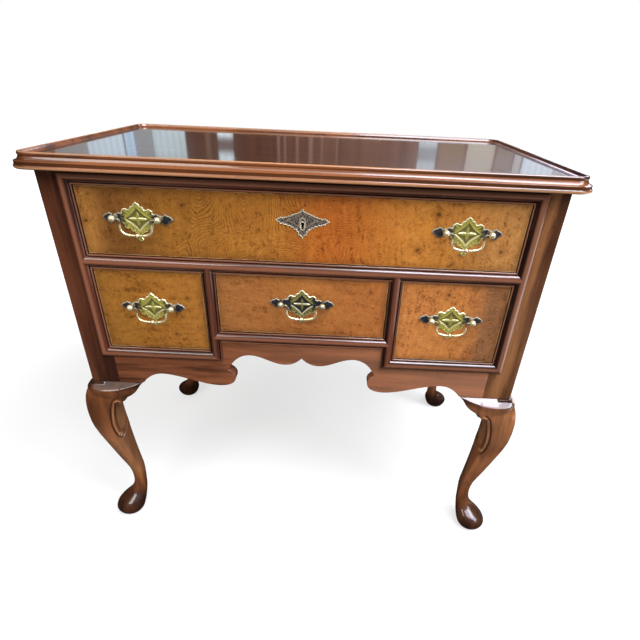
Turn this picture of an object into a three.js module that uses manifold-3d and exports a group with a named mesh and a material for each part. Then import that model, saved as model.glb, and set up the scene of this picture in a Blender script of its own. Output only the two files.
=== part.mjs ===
// A walnut lowboy: a dressing table on four cabriole legs, with one long drawer over three
// short ones, a dished top with a moulded lip, a shaped apron and brass bail handles.
// Millimetres, +Z up. The front faces -Y and the feet stand on Z = 0.
// The origin is on the floor, under the middle of the whole.

import * as THREE from 'three';
import { mergeVertices } from 'three/addons/utils/BufferGeometryUtils.js';
import Module from 'manifold-3d';

const wasm = await Module();
wasm.setup();

// The case
const CASE_WIDTH = 760;
const CASE_DEPTH = 436;
const LEG_HEIGHT = 350;
const POST = 50;

// The top
const TOP_THICKNESS = 22;
const TRAY_DEPTH = 6;
const OVERHANG_FRONT = 23.5;
const OVERHANG_SIDE = 25.5;
const OVERHANG_BACK = 6.5;
const TOP_CORNER_RADIUS = 30;
const RIM_WIDTH = 20;

// The openings for the drawers, and the rails and dividers between them
const TOP_OPENING_HEIGHT = 104;
const RAIL_MIDDLE_HEIGHT = 23;
const SIDE_OPENING_HEIGHT = 143.5;
const CENTRE_OPENING_HEIGHT = 104.5;
const CENTRE_OPENING_WIDTH = 275;
const DIVIDER_WIDTH = 21;
const RAIL_DEPTH = 50;
const RAIL_TOP_DEPTH = 24;

// The half-round moulding on the front of the rails, dividers and corner posts
const BEAD_HEIGHT = 7;
const BEAD_WIDTH = 20.5;
const FILLET_WIDTH = 2.4;
const FILLET_HEIGHT = 2.6;
const QUIRK_WIDTH = 1;
const QUIRK_HEIGHT = 1.2;
const BEAD_STEPS = 8;

// The apron and the knee blocks
const APRON_THICKNESS = 19;
const APRON_HEIGHT = 56;
const APRON_ARCH_WALL = 26.2;
const EAR_REACH = 40;
const EAR_DROP = 44;
const EAR_DEPTH = 22;
const EAR_SWELL = 17;
const SIDE_ARCH_RISE = 22;
const SIDE_ARCH_RUN = 46;

// The boards
const SIDE_THICKNESS = 18;
const BACK_THICKNESS = 14;
const BACK_INSET = 4;
const BACK_RISE = 22;
const DUST_BOARD_THICKNESS = 12;
const GUIDE_HEIGHT = 24;

// The tenons on the ends of the rails and panels
const TENON_LENGTH = 9.5;
const TENON_SHOULDER = 4;
const PANEL_TENONS = 3;

// The drawers
const DRAWER_GAP = 1.1;
const RUNNER_GAP = 0.3;
const DRAWER_END_CLEARANCE = 14;
const DRAWER_FRONT_THICKNESS = 20;
const DRAWER_SIDE_THICKNESS = 9;
const DRAWER_BACK_THICKNESS = 9;
const DRAWER_SIDE_DROP = 3;
const DRAWER_BOTTOM_THICKNESS = 6;
const DRAWER_BOTTOM_LIFT = 6;
const GROOVE_DEPTH = 5;
const TAIL_LENGTH = 14;
const TAIL_PITCH = 34;
const LEAST_TAILS = 2;
const TAIL_ROOT_SHARE = 0.27;
const TAIL_END_SHARE = 0.36;

// The brass
const HANDLE_INSET = 86.5;
const HANDLE_RAISE = 8;
const SIDE_HANDLE_RAISE = 10;
const POST_SPACING = 66.5;
const PLATE_WIDTH = 105.5;
const PLATE_PEAK = 23;
const PLATE_TIP = 37.5;
const PLATE_THICKNESS = 1.8;
const PIVOT_STANDOFF = 13;
const BALL_RADIUS = 5;
const NECK_RADIUS = 2.9;
const COLLAR_RADIUS = 4.6;
const COLLAR_HEIGHT = 1.6;
const SHANK_RADIUS = 2;
const NUT_RADIUS = 5;
const NUT_HEIGHT = 3.2;
const WIRE_RADIUS = 1.8;
const KNOP_RADIUS = 3.3;
const KNOP_LENGTH = 9;
const BAIL_DROP = 24.3;
const BAIL_INSET = 10.25;
const EYE_CLEARANCE = 0.4;
const PIN_DEPTH = 1.2;
const ESCUTCHEON_WIDTH = 82.5;
const ESCUTCHEON_PEAK = 18.6;
const ESCUTCHEON_TIP = 27.9;
const ESCUTCHEON_THICKNESS = 1.6;
const ESCUTCHEON_RAISE = 13.5;

// The lock of the long drawer
const LOCK_WIDTH = 56;
const LOCK_HEIGHT = 52;
const LOCK_MORTISE = 9;
const LOCK_PROUD = 2;
const BOLT_WIDTH = 20;
const BOLT_THICKNESS = 5;
const BOLT_LENGTH = 25;
const BOLT_SINK = 0.5;
const BOLT_TRAVEL = 8;
const BOLT_CLEARANCE = 0.3;
const KEYHOLE_RADIUS = 2.6;
const KEYHOLE_SLOT = 3.2;
const KEYHOLE_DROP = 8;
const KEYHOLE_DEPTH = 3;
const KEYHOLE_LOWERED = 4.65;

// The gap left at every glued or fitted joint, and the length that a cut runs past its face
const SEAM = 0.1;
const OVERRUN = 2;

// Steps on a curve, and on a round piece
const CURVE_STEPS = 6;
const RIM_CORNER_STEPS = 3;
const ROUND_STEPS = 8;
const WIRE_SIDES = 6;
const WIRE_STEPS = 9;
const LEG_SIDES = 16;

// The cabriole leg. Each row of it: height as a share of the leg, then how far the outer and inner faces
// lie from the corner of the case along the diagonal, as shares of the post's diagonal,
// then the roundness of the section: 1 is a square and 2 is a circle.
const legShares = [
  [0, 0.09, -0.38, 2],
  [0.01, 0.175, -0.455, 2],
  [0.03, 0.25, -0.51, 2],
  [0.05, 0.281, -0.545, 2],
  [0.07, 0.245, -0.58, 2],
  [0.085, 0.175, -0.605, 2],
  [0.1, 0.08, -0.63, 2],
  [0.116, -0.045, -0.655, 2],
  [0.134, -0.18, -0.68, 2],
  [0.16, -0.3, -0.705, 2],
  [0.2, -0.367, -0.722, 2],
  [0.25, -0.378, -0.738, 2],
  [0.31, -0.342, -0.742, 1.95],
  [0.36, -0.272, -0.722, 1.8],
  [0.434, -0.15, -0.686, 1.65],
  [0.514, -0.026, -0.655, 1.5],
  [0.6, 0.105, -0.625, 1.4],
  [0.67, 0.207, -0.61, 1.32],
  [0.74, 0.284, -0.586, 1.27],
  [0.81, 0.311, -0.585, 1.24],
  [0.87, 0.305, -0.655, 1.22],
  [0.915, 0.272, -0.77, 1.2],
  [0.95, 0.215, -0.88, 1.16],
  [0.975, 0.13, -0.97, 1.1],
  [1, 0, -1, 1],
];

function legSection([height, outer, inner, roundness]) {
  const diagonal = POST * Math.SQRT2;
  const half = ((outer - inner) / 2) * diagonal;
  const middle = ((outer + inner) / 2) * diagonal;
  const ring = [];
  for (let side = 0; side < LEG_SIDES; side += 1) {
    const angle = (side / LEG_SIDES) * Math.PI * 2;
    const along = Math.sign(Math.cos(angle)) * Math.abs(Math.cos(angle)) ** (2 / roundness);
    const across = Math.sign(Math.sin(angle)) * Math.abs(Math.sin(angle)) ** (2 / roundness);
    const outwards = middle + half * along;
    const sideways = half * across;
    ring.push([
      (outwards + sideways) / Math.SQRT2,
      (outwards - sideways) / Math.SQRT2,
      height * LEG_HEIGHT,
    ]);
  }
  return ring;
}

// How far a foot reaches past the faces of the case
const LEG_KICK = Math.max(...legShares.flatMap((row) => legSection(row).map(([x]) => x)));

// Places that follow from the sizes above. A moulding covers the whole of the top rail and
// of the low rails.
const RAIL_TOP_HEIGHT = BEAD_WIDTH;
const RAIL_LOW_HEIGHT = BEAD_WIDTH;
const FRONT_Y = (OVERHANG_FRONT - LEG_KICK - CASE_DEPTH) / 2;
const BACK_Y = FRONT_Y + CASE_DEPTH;
const HALF_WIDTH = CASE_WIDTH / 2;
const INNER_X = HALF_WIDTH - POST;
const PANEL_X = HALF_WIDTH - SIDE_THICKNESS;
const APRON_TOP = LEG_HEIGHT + APRON_HEIGHT;
const SIDE_OPENING_BOTTOM = APRON_TOP + RAIL_LOW_HEIGHT;
const LOW_OPENING_TOP = SIDE_OPENING_BOTTOM + SIDE_OPENING_HEIGHT;
const TOP_OPENING_BOTTOM = LOW_OPENING_TOP + RAIL_MIDDLE_HEIGHT;
const TOP_OPENING_TOP = TOP_OPENING_BOTTOM + TOP_OPENING_HEIGHT;
const CASE_TOP_Z = TOP_OPENING_TOP + RAIL_TOP_HEIGHT;
const CENTRE_OPENING_BOTTOM = LOW_OPENING_TOP - CENTRE_OPENING_HEIGHT;
const APRON_CENTRE_TOP = CENTRE_OPENING_BOTTOM - RAIL_LOW_HEIGHT;
const APRON_RISE = APRON_CENTRE_TOP - APRON_ARCH_WALL - LEG_HEIGHT;
const DIVIDER_IN = CENTRE_OPENING_WIDTH / 2;
const DIVIDER_OUT = DIVIDER_IN + DIVIDER_WIDTH;
const SIDE_OPENING_WIDTH = INNER_X - DIVIDER_OUT;
const SIDE_OPENING_X = (INNER_X + DIVIDER_OUT) / 2;
const BOARD_FRONT_Y = FRONT_Y + RAIL_DEPTH;
const PANEL_BACK_Y = BACK_Y - BACK_INSET;
const PANEL_FRONT_Y = PANEL_BACK_Y - BACK_THICKNESS;
const POST_FRONT_Y = FRONT_Y + POST;
const POST_REAR_Y = BACK_Y - POST;
const DRAWER_LENGTH = PANEL_FRONT_Y - FRONT_Y - DRAWER_END_CLEARANCE;

// Finishes
function finish(color, roughness, metalness) {
  return () => new THREE.MeshStandardMaterial({ color, roughness, metalness });
}
const polishedTop = finish('#6b3a20', 0.12, 0);
const carcass = finish('#6a3a1f', 0.3, 0);
const burrWalnut = finish('#b5722c', 0.25, 0);
const legWood = finish('#7a4322', 0.25, 0);
const drawerOak = finish('#b48a58', 0.6, 0);
const boardWood = finish('#9a7550', 0.7, 0);
const agedBrass = finish('#8f7a34', 0.35, 0.9);
const brightBrass = finish('#d9c48a', 0.25, 0.9);
const steel = finish('#77726a', 0.45, 0.9);

// Solids: a closed three.js geometry to a solid, and back

function solidOf(geometry) {
  const bare = geometry.clone();
  bare.deleteAttribute('normal');
  bare.deleteAttribute('uv');
  const welded = mergeVertices(bare);
  return new wasm.Manifold(new wasm.Mesh({
    numProp: 3,
    vertProperties: new Float32Array(welded.attributes.position.array),
    triVerts: new Uint32Array(welded.index.array),
  }));
}

function geometryOf(solid) {
  const mesh = solid.getMesh();
  const geometry = new THREE.BufferGeometry();
  geometry.setAttribute('position', new THREE.BufferAttribute(mesh.vertProperties, 3));
  geometry.setIndex(new THREE.BufferAttribute(mesh.triVerts, 1));
  geometry.computeVertexNormals();
  return geometry;
}

function block(x0, x1, y0, y1, z0, z1) {
  const geometry = new THREE.BoxGeometry(x1 - x0, y1 - y0, z1 - z0);
  geometry.translate((x0 + x1) / 2, (y0 + y1) / 2, (z0 + z1) / 2);
  return solidOf(geometry);
}

// The outline lies in the plane across the axis: (y, z) for x, (x, z) for y and (x, y) for z.
const OUTLINE_FRAMES = {
  x: [new THREE.Vector3(0, 1, 0), new THREE.Vector3(0, 0, 1), new THREE.Vector3(1, 0, 0)],
  y: [new THREE.Vector3(1, 0, 0), new THREE.Vector3(0, 0, 1), new THREE.Vector3(0, -1, 0)],
  z: [new THREE.Vector3(1, 0, 0), new THREE.Vector3(0, 1, 0), new THREE.Vector3(0, 0, 1)],
};

function prism(shape, axis, from, to, curveSegments = CURVE_STEPS) {
  const geometry = new THREE.ExtrudeGeometry(shape, {
    depth: to - from,
    bevelEnabled: false,
    curveSegments,
  });
  const [across, up, along] = OUTLINE_FRAMES[axis];
  geometry.applyMatrix4(new THREE.Matrix4().makeBasis(across, up, along));
  const start = along.clone().multiplyScalar(axis === 'y' ? -to : from);
  geometry.translate(start.x, start.y, start.z);
  return solidOf(geometry);
}

function polygon(points) {
  return new THREE.Shape(points.map(([across, up]) => new THREE.Vector2(across, up)));
}

// Rings of points, one after another, skinned and capped. The faces are turned outwards
// whichever way round the rings run.
function loft(rings) {
  const count = rings[0].length;
  const points = rings.flat();
  const faces = [];
  for (let ring = 0; ring + 1 < rings.length; ring += 1) {
    for (let side = 0; side < count; side += 1) {
      const a = ring * count + side;
      const b = ring * count + ((side + 1) % count);
      faces.push([a, b, b + count], [a, b + count, a + count]);
    }
  }
  [0, rings.length - 1].forEach((ring) => {
    const middle = new THREE.Vector3();
    rings[ring].forEach((point) => middle.add(point));
    points.push(middle.divideScalar(count));
    for (let side = 0; side < count; side += 1) {
      const a = ring * count + side;
      const b = ring * count + ((side + 1) % count);
      faces.push(ring === 0 ? [points.length - 1, b, a] : [points.length - 1, a, b]);
    }
  });
  const volume = faces.reduce((sum, [a, b, c]) => {
    return sum + points[a].dot(new THREE.Vector3().crossVectors(points[b], points[c]));
  }, 0);
  const ordered = volume > 0 ? faces : faces.map(([a, b, c]) => [a, c, b]);
  const geometry = new THREE.BufferGeometry().setFromPoints(points);
  geometry.setIndex(ordered.flat());
  return solidOf(geometry);
}

// A lathe turned about the Y axis through a place. The profile is a list of [radius, y].
function turned(profile, x, z, steps = ROUND_STEPS) {
  const points = profile.map(([radius, y]) => new THREE.Vector2(radius, y));
  const geometry = new THREE.LatheGeometry(points, steps);
  geometry.translate(x, 0, z);
  return solidOf(geometry);
}

function piece(parent, name, solid, material) {
  const mesh = new THREE.Mesh(geometryOf(solid), material());
  mesh.name = name;
  parent.add(mesh);
  return mesh;
}

// The mouldings on the front. A strip's profile runs across it, from the edge beside a drawer.

function addHalfRound(points, from, to) {
  for (let step = 1; step <= BEAD_STEPS; step += 1) {
    const angle = (Math.PI * step) / BEAD_STEPS;
    const place = (from + to) / 2 - (Math.cos(angle) * (to - from)) / 2;
    const rise = step === BEAD_STEPS ? 0 : QUIRK_HEIGHT;
    points.push([place, Math.max(rise, Math.sin(angle) * BEAD_HEIGHT)]);
  }
}

// Points of [distance across, height], from the drawer's edge outwards.
function beadPoints(width, bothSides) {
  const quirk = FILLET_WIDTH + QUIRK_WIDTH;
  const points = [[0, 0], [0, FILLET_HEIGHT], [FILLET_WIDTH, FILLET_HEIGHT], [quirk, QUIRK_HEIGHT]];
  addHalfRound(points, quirk, bothSides ? width - quirk : width);
  if (bothSides) {
    points[points.length - 1][1] = QUIRK_HEIGHT;
    points.push([width - FILLET_WIDTH, FILLET_HEIGHT], [width, FILLET_HEIGHT], [width, 0]);
  }
  return points;
}

// A strip along X: its inner edge is at z0, and it spreads up or down from there.
function beadAlongX(x0, x1, z0, spread, width, bothSides = false) {
  const outline = beadPoints(width, bothSides).map(([place, height]) => {
    return [FRONT_Y - SEAM - height, z0 + spread * place];
  });
  return prism(polygon(outline), 'x', x0, x1);
}

// A strip along Z: its inner edge is at x0, and it spreads left or right from there.
function beadAlongZ(z0, z1, x0, spread, width, bothSides = false) {
  const outline = beadPoints(width, bothSides).map(([place, height]) => {
    return [x0 + spread * place, FRONT_Y - SEAM - height];
  });
  return prism(polygon(outline), 'z', z0, z1);
}

// A mitre or a notch: a wedge cut through the moulding only, in front of the rails.
function mitreWedge(points) {
  return prism(polygon(points), 'y', FRONT_Y - BEAD_HEIGHT - OVERRUN, FRONT_Y - SEAM / 2);
}

const TIE = SEAM * 2;

// The moulding is glued to its rail, so both are one solid: a thin tie joins them.
function withBead(body, bead, tie) {
  return body.add(tie).add(bead);
}

function signed(side, x) {
  return side * x;
}

function spanX(side, inner, outer, y0, y1, z0, z1) {
  const a = signed(side, inner);
  const b = signed(side, outer);
  return block(Math.min(a, b), Math.max(a, b), y0, y1, z0, z1);
}

// Mortise and tenon joints. Each tenon stands in from the faces of its rail or panel by the
// shoulder. With an allowance the same block is its mortise.

// On the end of a rail or of the back, which spans ySpan and zSpan. direction is 1 for a tenon
// that points away from the middle of the case.
function tenonX(side, end, direction, ySpan, zSpan, allowance = 0) {
  const inset = TENON_SHOULDER - allowance;
  return spanX(
    side,
    end - direction * OVERRUN,
    end + direction * (TENON_LENGTH + allowance),
    ySpan[0] + inset,
    ySpan[1] - inset,
    zSpan[0] + inset,
    zSpan[1] - inset,
  );
}

// On the front or rear edge of a side panel, over zSpan
function tenonY(side, end, direction, zSpan, allowance = 0) {
  const inset = TENON_SHOULDER - allowance;
  const reach = [end - direction * OVERRUN, end + direction * (TENON_LENGTH + allowance)];
  return spanX(
    side,
    PANEL_X + inset,
    HALF_WIDTH - inset,
    Math.min(...reach),
    Math.max(...reach),
    zSpan[0] + inset,
    zSpan[1] - inset,
  );
}

// On the top of a divider
function tenonZ(side, allowance = 0) {
  const inset = TENON_SHOULDER - allowance;
  return spanX(
    side,
    DIVIDER_IN + inset,
    DIVIDER_OUT - inset,
    FRONT_Y + inset,
    BOARD_FRONT_Y - inset,
    LOW_OPENING_TOP - OVERRUN,
    LOW_OPENING_TOP + TENON_LENGTH + allowance,
  );
}

// The heights of a panel's tenons, one above another
function panelTenonSpans(bottom, top) {
  const pitch = (top - bottom) / PANEL_TENONS;
  const spans = [];
  for (let row = 0; row < PANEL_TENONS; row += 1) {
    spans.push([bottom + row * pitch, bottom + (row + 1) * pitch]);
  }
  return spans;
}

// What each rail or panel spans, from front to back and from bottom to top
const TOP_RAIL_SPANS = [[FRONT_Y, FRONT_Y + RAIL_TOP_DEPTH], [TOP_OPENING_TOP, CASE_TOP_Z]];
const MIDDLE_RAIL_SPANS = [[FRONT_Y, BOARD_FRONT_Y], [LOW_OPENING_TOP, TOP_OPENING_BOTTOM]];
const SIDE_RAIL_SPANS = [[FRONT_Y, BOARD_FRONT_Y], [APRON_TOP, SIDE_OPENING_BOTTOM]];
const CENTRE_RAIL_SPANS = [[FRONT_Y, BOARD_FRONT_Y], [APRON_CENTRE_TOP, CENTRE_OPENING_BOTTOM]];
const APRON_SPANS = [[FRONT_Y, FRONT_Y + APRON_THICKNESS], [LEG_HEIGHT, APRON_TOP]];
const BACK_DEPTH_SPAN = [PANEL_FRONT_Y, PANEL_BACK_Y];
const SIDE_TENON_SPANS = panelTenonSpans(LEG_HEIGHT, CASE_TOP_Z);
const BACK_TENON_SPANS = panelTenonSpans(LEG_HEIGHT + BACK_RISE, CASE_TOP_Z);

function joined(solids) {
  return solids.reduce((whole, solid) => whole.add(solid));
}

const lowboy = new THREE.Group();

// The top: a flat board, inside a lip of four mouldings with rounded, mitred corners

const TOP_HALF_WIDTH = HALF_WIDTH + OVERHANG_SIDE;
const TOP_HALF_DEPTH = (CASE_DEPTH + OVERHANG_FRONT + OVERHANG_BACK) / 2;
const TRAY_Z = CASE_TOP_Z + TOP_THICKNESS - TRAY_DEPTH;
const tableTop = new THREE.Group();
tableTop.position.y = (FRONT_Y - OVERHANG_FRONT + BACK_Y + OVERHANG_BACK) / 2;
lowboy.add(tableTop);

function roundedRectangle(halfWidth, halfDepth, radius) {
  const shape = new THREE.Shape();
  shape.moveTo(halfWidth - radius, -halfDepth);
  shape.absarc(halfWidth - radius, radius - halfDepth, radius, -Math.PI / 2, 0);
  shape.absarc(halfWidth - radius, halfDepth - radius, radius, 0, Math.PI / 2);
  shape.absarc(radius - halfWidth, halfDepth - radius, radius, Math.PI / 2, Math.PI);
  shape.absarc(radius - halfWidth, radius - halfDepth, radius, Math.PI, Math.PI * 1.5);
  return shape;
}

// The lip's profile as shares: [of the rim's width inwards from its nose, of the thickness up].
const rimProfileShares = [
  [0.06, 0], [0.01, 0.06], [0, 0.12], [0.02, 0.19], [0.08, 0.23],
  [0.08, 0.44],
  [0.2, 0.47], [0.34, 0.56], [0.42, 0.7], [0.44, 0.76],
  [0.4, 0.82], [0.41, 0.93], [0.5, 1], [0.6, 0.97], [0.64, 0.9],
  [0.7, 0.8], [0.8, 0.75], [1, 0.727],
  [1, 0],
];

// One side of the lip, from the middle of one rounded corner to the middle of the next.
function rimSide(halfLength, halfAcross) {
  const rings = [];
  const arcX = halfLength - TOP_CORNER_RADIUS;
  const arcY = TOP_CORNER_RADIUS - halfAcross;
  const mitre = Math.PI / 4;
  for (let step = 0; step <= RIM_CORNER_STEPS * 2 + 1; step += 1) {
    const right = step > RIM_CORNER_STEPS;
    const past = step - RIM_CORNER_STEPS - 1;
    const turn = right ? past / RIM_CORNER_STEPS : 1 - step / RIM_CORNER_STEPS;
    const angle = (right ? 1 : -1) * turn * mitre;
    rings.push(rimProfileShares.map(([inwards, up]) => {
      const radius = TOP_CORNER_RADIUS - inwards * (RIM_WIDTH - SEAM);
      return new THREE.Vector3(
        (right ? 1 : -1) * (arcX - SEAM) + Math.sin(angle) * radius,
        arcY - Math.cos(angle) * radius,
        CASE_TOP_Z + SEAM + up * (TOP_THICKNESS - SEAM),
      );
    }));
  }
  return loft(rings);
}

const boardInset = RIM_WIDTH + SEAM * 2;
const topBoard = prism(
  roundedRectangle(
    TOP_HALF_WIDTH - boardInset,
    TOP_HALF_DEPTH - boardInset,
    TOP_CORNER_RADIUS - boardInset,
  ),
  'z',
  CASE_TOP_Z + SEAM,
  TRAY_Z,
);
piece(tableTop, 'top_board', topBoard, polishedTop);
piece(tableTop, 'rim_front', rimSide(TOP_HALF_WIDTH, TOP_HALF_DEPTH), polishedTop);
const rimBack = piece(tableTop, 'rim_back', rimSide(TOP_HALF_WIDTH, TOP_HALF_DEPTH), polishedTop);
rimBack.rotation.z = Math.PI;
const rimLeft = piece(tableTop, 'rim_left', rimSide(TOP_HALF_DEPTH, TOP_HALF_WIDTH), polishedTop);
rimLeft.rotation.z = -Math.PI / 2;
const rimRight = piece(tableTop, 'rim_right', rimSide(TOP_HALF_DEPTH, TOP_HALF_WIDTH), polishedTop);
rimRight.rotation.z = Math.PI / 2;

// A leg with its corner post and knee blocks, as one piece.
// Each row of a knee block: how far along it from the corner of the case, as a share of the
// way from the corner to its tip, then its depth under the case and its swell in front of the
// case, as shares of the knee block's drop and swell.
const earShares = [
  [0.22, 1.18, 1.02],
  [0.38, 1.16, 0.98],
  [0.555, 1, 0.86],
  [0.6, 0.85, 0.8],
  [0.66, 0.76, 0.7],
  [0.75, 0.64, 0.55],
  [0.84, 0.46, 0.38],
  [0.93, 0.18, 0.2],
  [1, 0.04, 0.06],
];

// The section of a knee block: [share of the swell forwards, share of the depth down].
const earSectionShares = [
  [0, 0], [0.6, 0.08], [0.95, 0.24], [1, 0.42], [0.86, 0.66], [0.55, 0.86], [0.1, 1],
];

function kneeBlock(place) {
  const reach = POST + EAR_REACH;
  const rings = earShares.map(([along, depth, swell]) => {
    const ring = earSectionShares.map(([forward, down]) => {
      return place(along * reach, forward * swell * EAR_SWELL, LEG_HEIGHT - down * depth * EAR_DROP);
    });
    ring.push(place(along * reach, -EAR_DEPTH, LEG_HEIGHT - depth * EAR_DROP));
    ring.push(place(along * reach, -EAR_DEPTH, LEG_HEIGHT));
    return ring;
  });
  return loft(rings);
}

// side is -1 for left and 1 for right, and face is -1 for front and 1 for rear.
function leg(side, face) {
  const corner = (outX, outY, z) => new THREE.Vector3(side * outX, face * outY, z);
  const rings = legShares.map((row) => legSection(row).map(([x, y, z]) => corner(x, y, z)));
  const postX = [0, -side * POST].sort((a, b) => a - b);
  const postY = [0, -face * POST].sort((a, b) => a - b);
  let solid = loft(rings).add(block(...postX, ...postY, LEG_HEIGHT - OVERRUN, CASE_TOP_Z));
  solid = solid.add(kneeBlock((along, forward, z) => corner(forward, -along, z)));
  if (face < 0) {
    solid = solid.add(kneeBlock((along, forward, z) => corner(-along, forward, z)));
  }
  return solid;
}

function notchedStileBead(side) {
  const bottom = SIDE_OPENING_BOTTOM - BEAD_WIDTH;
  const outerX = signed(side, INNER_X + BEAD_WIDTH);
  const innerX = signed(side, INNER_X);
  const middle = (LOW_OPENING_TOP + TOP_OPENING_BOTTOM) / 2;
  const half = RAIL_MIDDLE_HEIGHT / 2 + SEAM;
  const past = signed(side, -OVERRUN);
  return beadAlongZ(bottom, CASE_TOP_Z - SEAM, innerX, side, BEAD_WIDTH)
    .subtract(mitreWedge([
      [innerX + past, TOP_OPENING_TOP - SEAM - OVERRUN],
      [outerX - past, TOP_OPENING_TOP - SEAM + BEAD_WIDTH + OVERRUN],
      [innerX + past, TOP_OPENING_TOP - SEAM + BEAD_WIDTH + OVERRUN],
    ]))
    .subtract(mitreWedge([
      [innerX + past, SIDE_OPENING_BOTTOM + SEAM + OVERRUN],
      [outerX - past, bottom + SEAM - OVERRUN],
      [innerX + past, bottom + SEAM - OVERRUN],
    ]))
    .subtract(mitreWedge([
      [innerX + past, middle + half + OVERRUN],
      [innerX + signed(side, half), middle],
      [innerX + past, middle - half - OVERRUN],
    ]));
}

// The mortises of a post: four rails and a side panel meet a front post, the back and a side
// panel a rear one.
function postMortises(side, face) {
  const mortises = [];
  if (face < 0) {
    [TOP_RAIL_SPANS, MIDDLE_RAIL_SPANS, SIDE_RAIL_SPANS, APRON_SPANS].forEach((spans) => {
      mortises.push(tenonX(side, INNER_X, 1, ...spans, SEAM));
    });
  } else {
    BACK_TENON_SPANS.forEach((span) => {
      mortises.push(tenonX(side, INNER_X, 1, BACK_DEPTH_SPAN, span, SEAM));
    });
  }
  SIDE_TENON_SPANS.forEach((span) => {
    mortises.push(tenonY(side, face < 0 ? POST_FRONT_Y : POST_REAR_Y, face, span, SEAM));
  });
  return joined(mortises);
}

const CORNERS = [
  ['leg_front_left', -1, -1],
  ['leg_front_right', 1, -1],
  ['leg_rear_left', -1, 1],
  ['leg_rear_right', 1, 1],
];
CORNERS.forEach(([name, side, face]) => {
  const cornerX = signed(side, HALF_WIDTH);
  const cornerY = face < 0 ? FRONT_Y : BACK_Y;
  const mortises = geometryOf(postMortises(side, face));
  mortises.translate(-cornerX, -cornerY, 0);
  let solid = leg(side, face).subtract(solidOf(mortises));
  if (face < 0) {
    const bead = geometryOf(notchedStileBead(side));
    bead.translate(-cornerX, TIE - cornerY, 0);
    solid = solid.add(solidOf(bead));
  }
  const mesh = piece(lowboy, name, solid, legWood);
  mesh.position.set(cornerX, cornerY, 0);
});

// The apron's lower edge: [bays out from the middle, share of the rise]. The first bay ends at
// the divider and the second at the post.
// Each row after the first is a curve: two control points and its end.
const apronStartShares = [1.777, 0];
const apronCurveShares = [
  [1.734, 0.17, 1.667, 0.31, 1.585, 0.31],
  [1.429, 0.31, 1.22, 0.02, 1.061, 0.02],
  [0.946, 0.02, 0.859, 0.116, 0.859, 0.305],
  [0.859, 0.42, 0.902, 0.48, 0.941, 0.538],
  [0.902, 0.756, 0.799, 1, 0.662, 1],
  [0.494, 1, 0.379, 0.763, 0.218, 0.763],
  [0.125, 0.763, 0.058, 0.843, 0, 0.971],
];

// The curves in order from the post to the middle, then back on the other side.
function apronEdge(shape) {
  const place = (side, [bays, up]) => {
    const inFirstBay = Math.min(bays, 1) * DIVIDER_IN;
    const inSecondBay = Math.max(bays - 1, 0) * (INNER_X - DIVIDER_IN);
    return [side * (inFirstBay + inSecondBay), LEG_HEIGHT + up * APRON_RISE];
  };
  shape.lineTo(...place(-1, apronStartShares));
  apronCurveShares.forEach(([a, b, c, d, e, f]) => {
    shape.bezierCurveTo(...place(-1, [a, b]), ...place(-1, [c, d]), ...place(-1, [e, f]));
  });
  const starts = [apronStartShares, ...apronCurveShares.map((row) => row.slice(4))];
  for (let row = apronCurveShares.length - 1; row >= 0; row -= 1) {
    const [a, b, c, d] = apronCurveShares[row];
    shape.bezierCurveTo(...place(1, [c, d]), ...place(1, [a, b]), ...place(1, starts[row]));
  }
}

const apronShape = new THREE.Shape();
const apronEnd = INNER_X - SEAM;
const apronStep = DIVIDER_IN - SEAM;
apronShape.moveTo(-apronEnd, APRON_TOP - SEAM);
apronShape.lineTo(-apronEnd, LEG_HEIGHT + SEAM);
apronEdge(apronShape);
apronShape.lineTo(apronEnd, LEG_HEIGHT + SEAM);
apronShape.lineTo(apronEnd, APRON_TOP - SEAM);
apronShape.lineTo(apronStep, APRON_TOP - SEAM);
apronShape.lineTo(apronStep, APRON_CENTRE_TOP - SEAM);
apronShape.lineTo(-apronStep, APRON_CENTRE_TOP - SEAM);
apronShape.lineTo(-apronStep, APRON_TOP - SEAM);
const apron = joined([
  prism(apronShape, 'y', FRONT_Y, FRONT_Y + APRON_THICKNESS),
  tenonX(-1, INNER_X, 1, ...APRON_SPANS),
  tenonX(1, INNER_X, 1, ...APRON_SPANS),
]);
piece(lowboy, 'apron_front', apron, carcass);

// The sides, with a lower edge that rises from the knee blocks. Its curve is pulled up this
// far along its run.
const archPullShare = 0.25;

function sidePanelShape() {
  const shape = new THREE.Shape();
  const front = POST_FRONT_Y + SEAM;
  const back = POST_REAR_Y - SEAM;
  const low = LEG_HEIGHT + SEAM;
  const high = LEG_HEIGHT + SIDE_ARCH_RISE;
  const pull = SIDE_ARCH_RUN * archPullShare;
  shape.moveTo(front, low);
  shape.lineTo(front + EAR_REACH, low);
  shape.quadraticCurveTo(
    front + EAR_REACH + pull,
    high,
    front + EAR_REACH + SIDE_ARCH_RUN,
    high,
  );
  shape.lineTo(back - EAR_REACH - SIDE_ARCH_RUN, high);
  shape.quadraticCurveTo(back - EAR_REACH - pull, high, back - EAR_REACH, low);
  shape.lineTo(back, low);
  shape.lineTo(back, CASE_TOP_Z);
  shape.lineTo(front, CASE_TOP_Z);
  return shape;
}

function sidePanel(side) {
  const across = [signed(side, PANEL_X), signed(side, HALF_WIDTH)].sort((a, b) => a - b);
  const tenons = SIDE_TENON_SPANS.flatMap((span) => [
    tenonY(side, POST_FRONT_Y, -1, span),
    tenonY(side, POST_REAR_Y, 1, span),
  ]);
  return joined([prism(sidePanelShape(), 'x', ...across), ...tenons]);
}
piece(lowboy, 'side_left', sidePanel(-1), carcass);
piece(lowboy, 'side_right', sidePanel(1), carcass);

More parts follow.
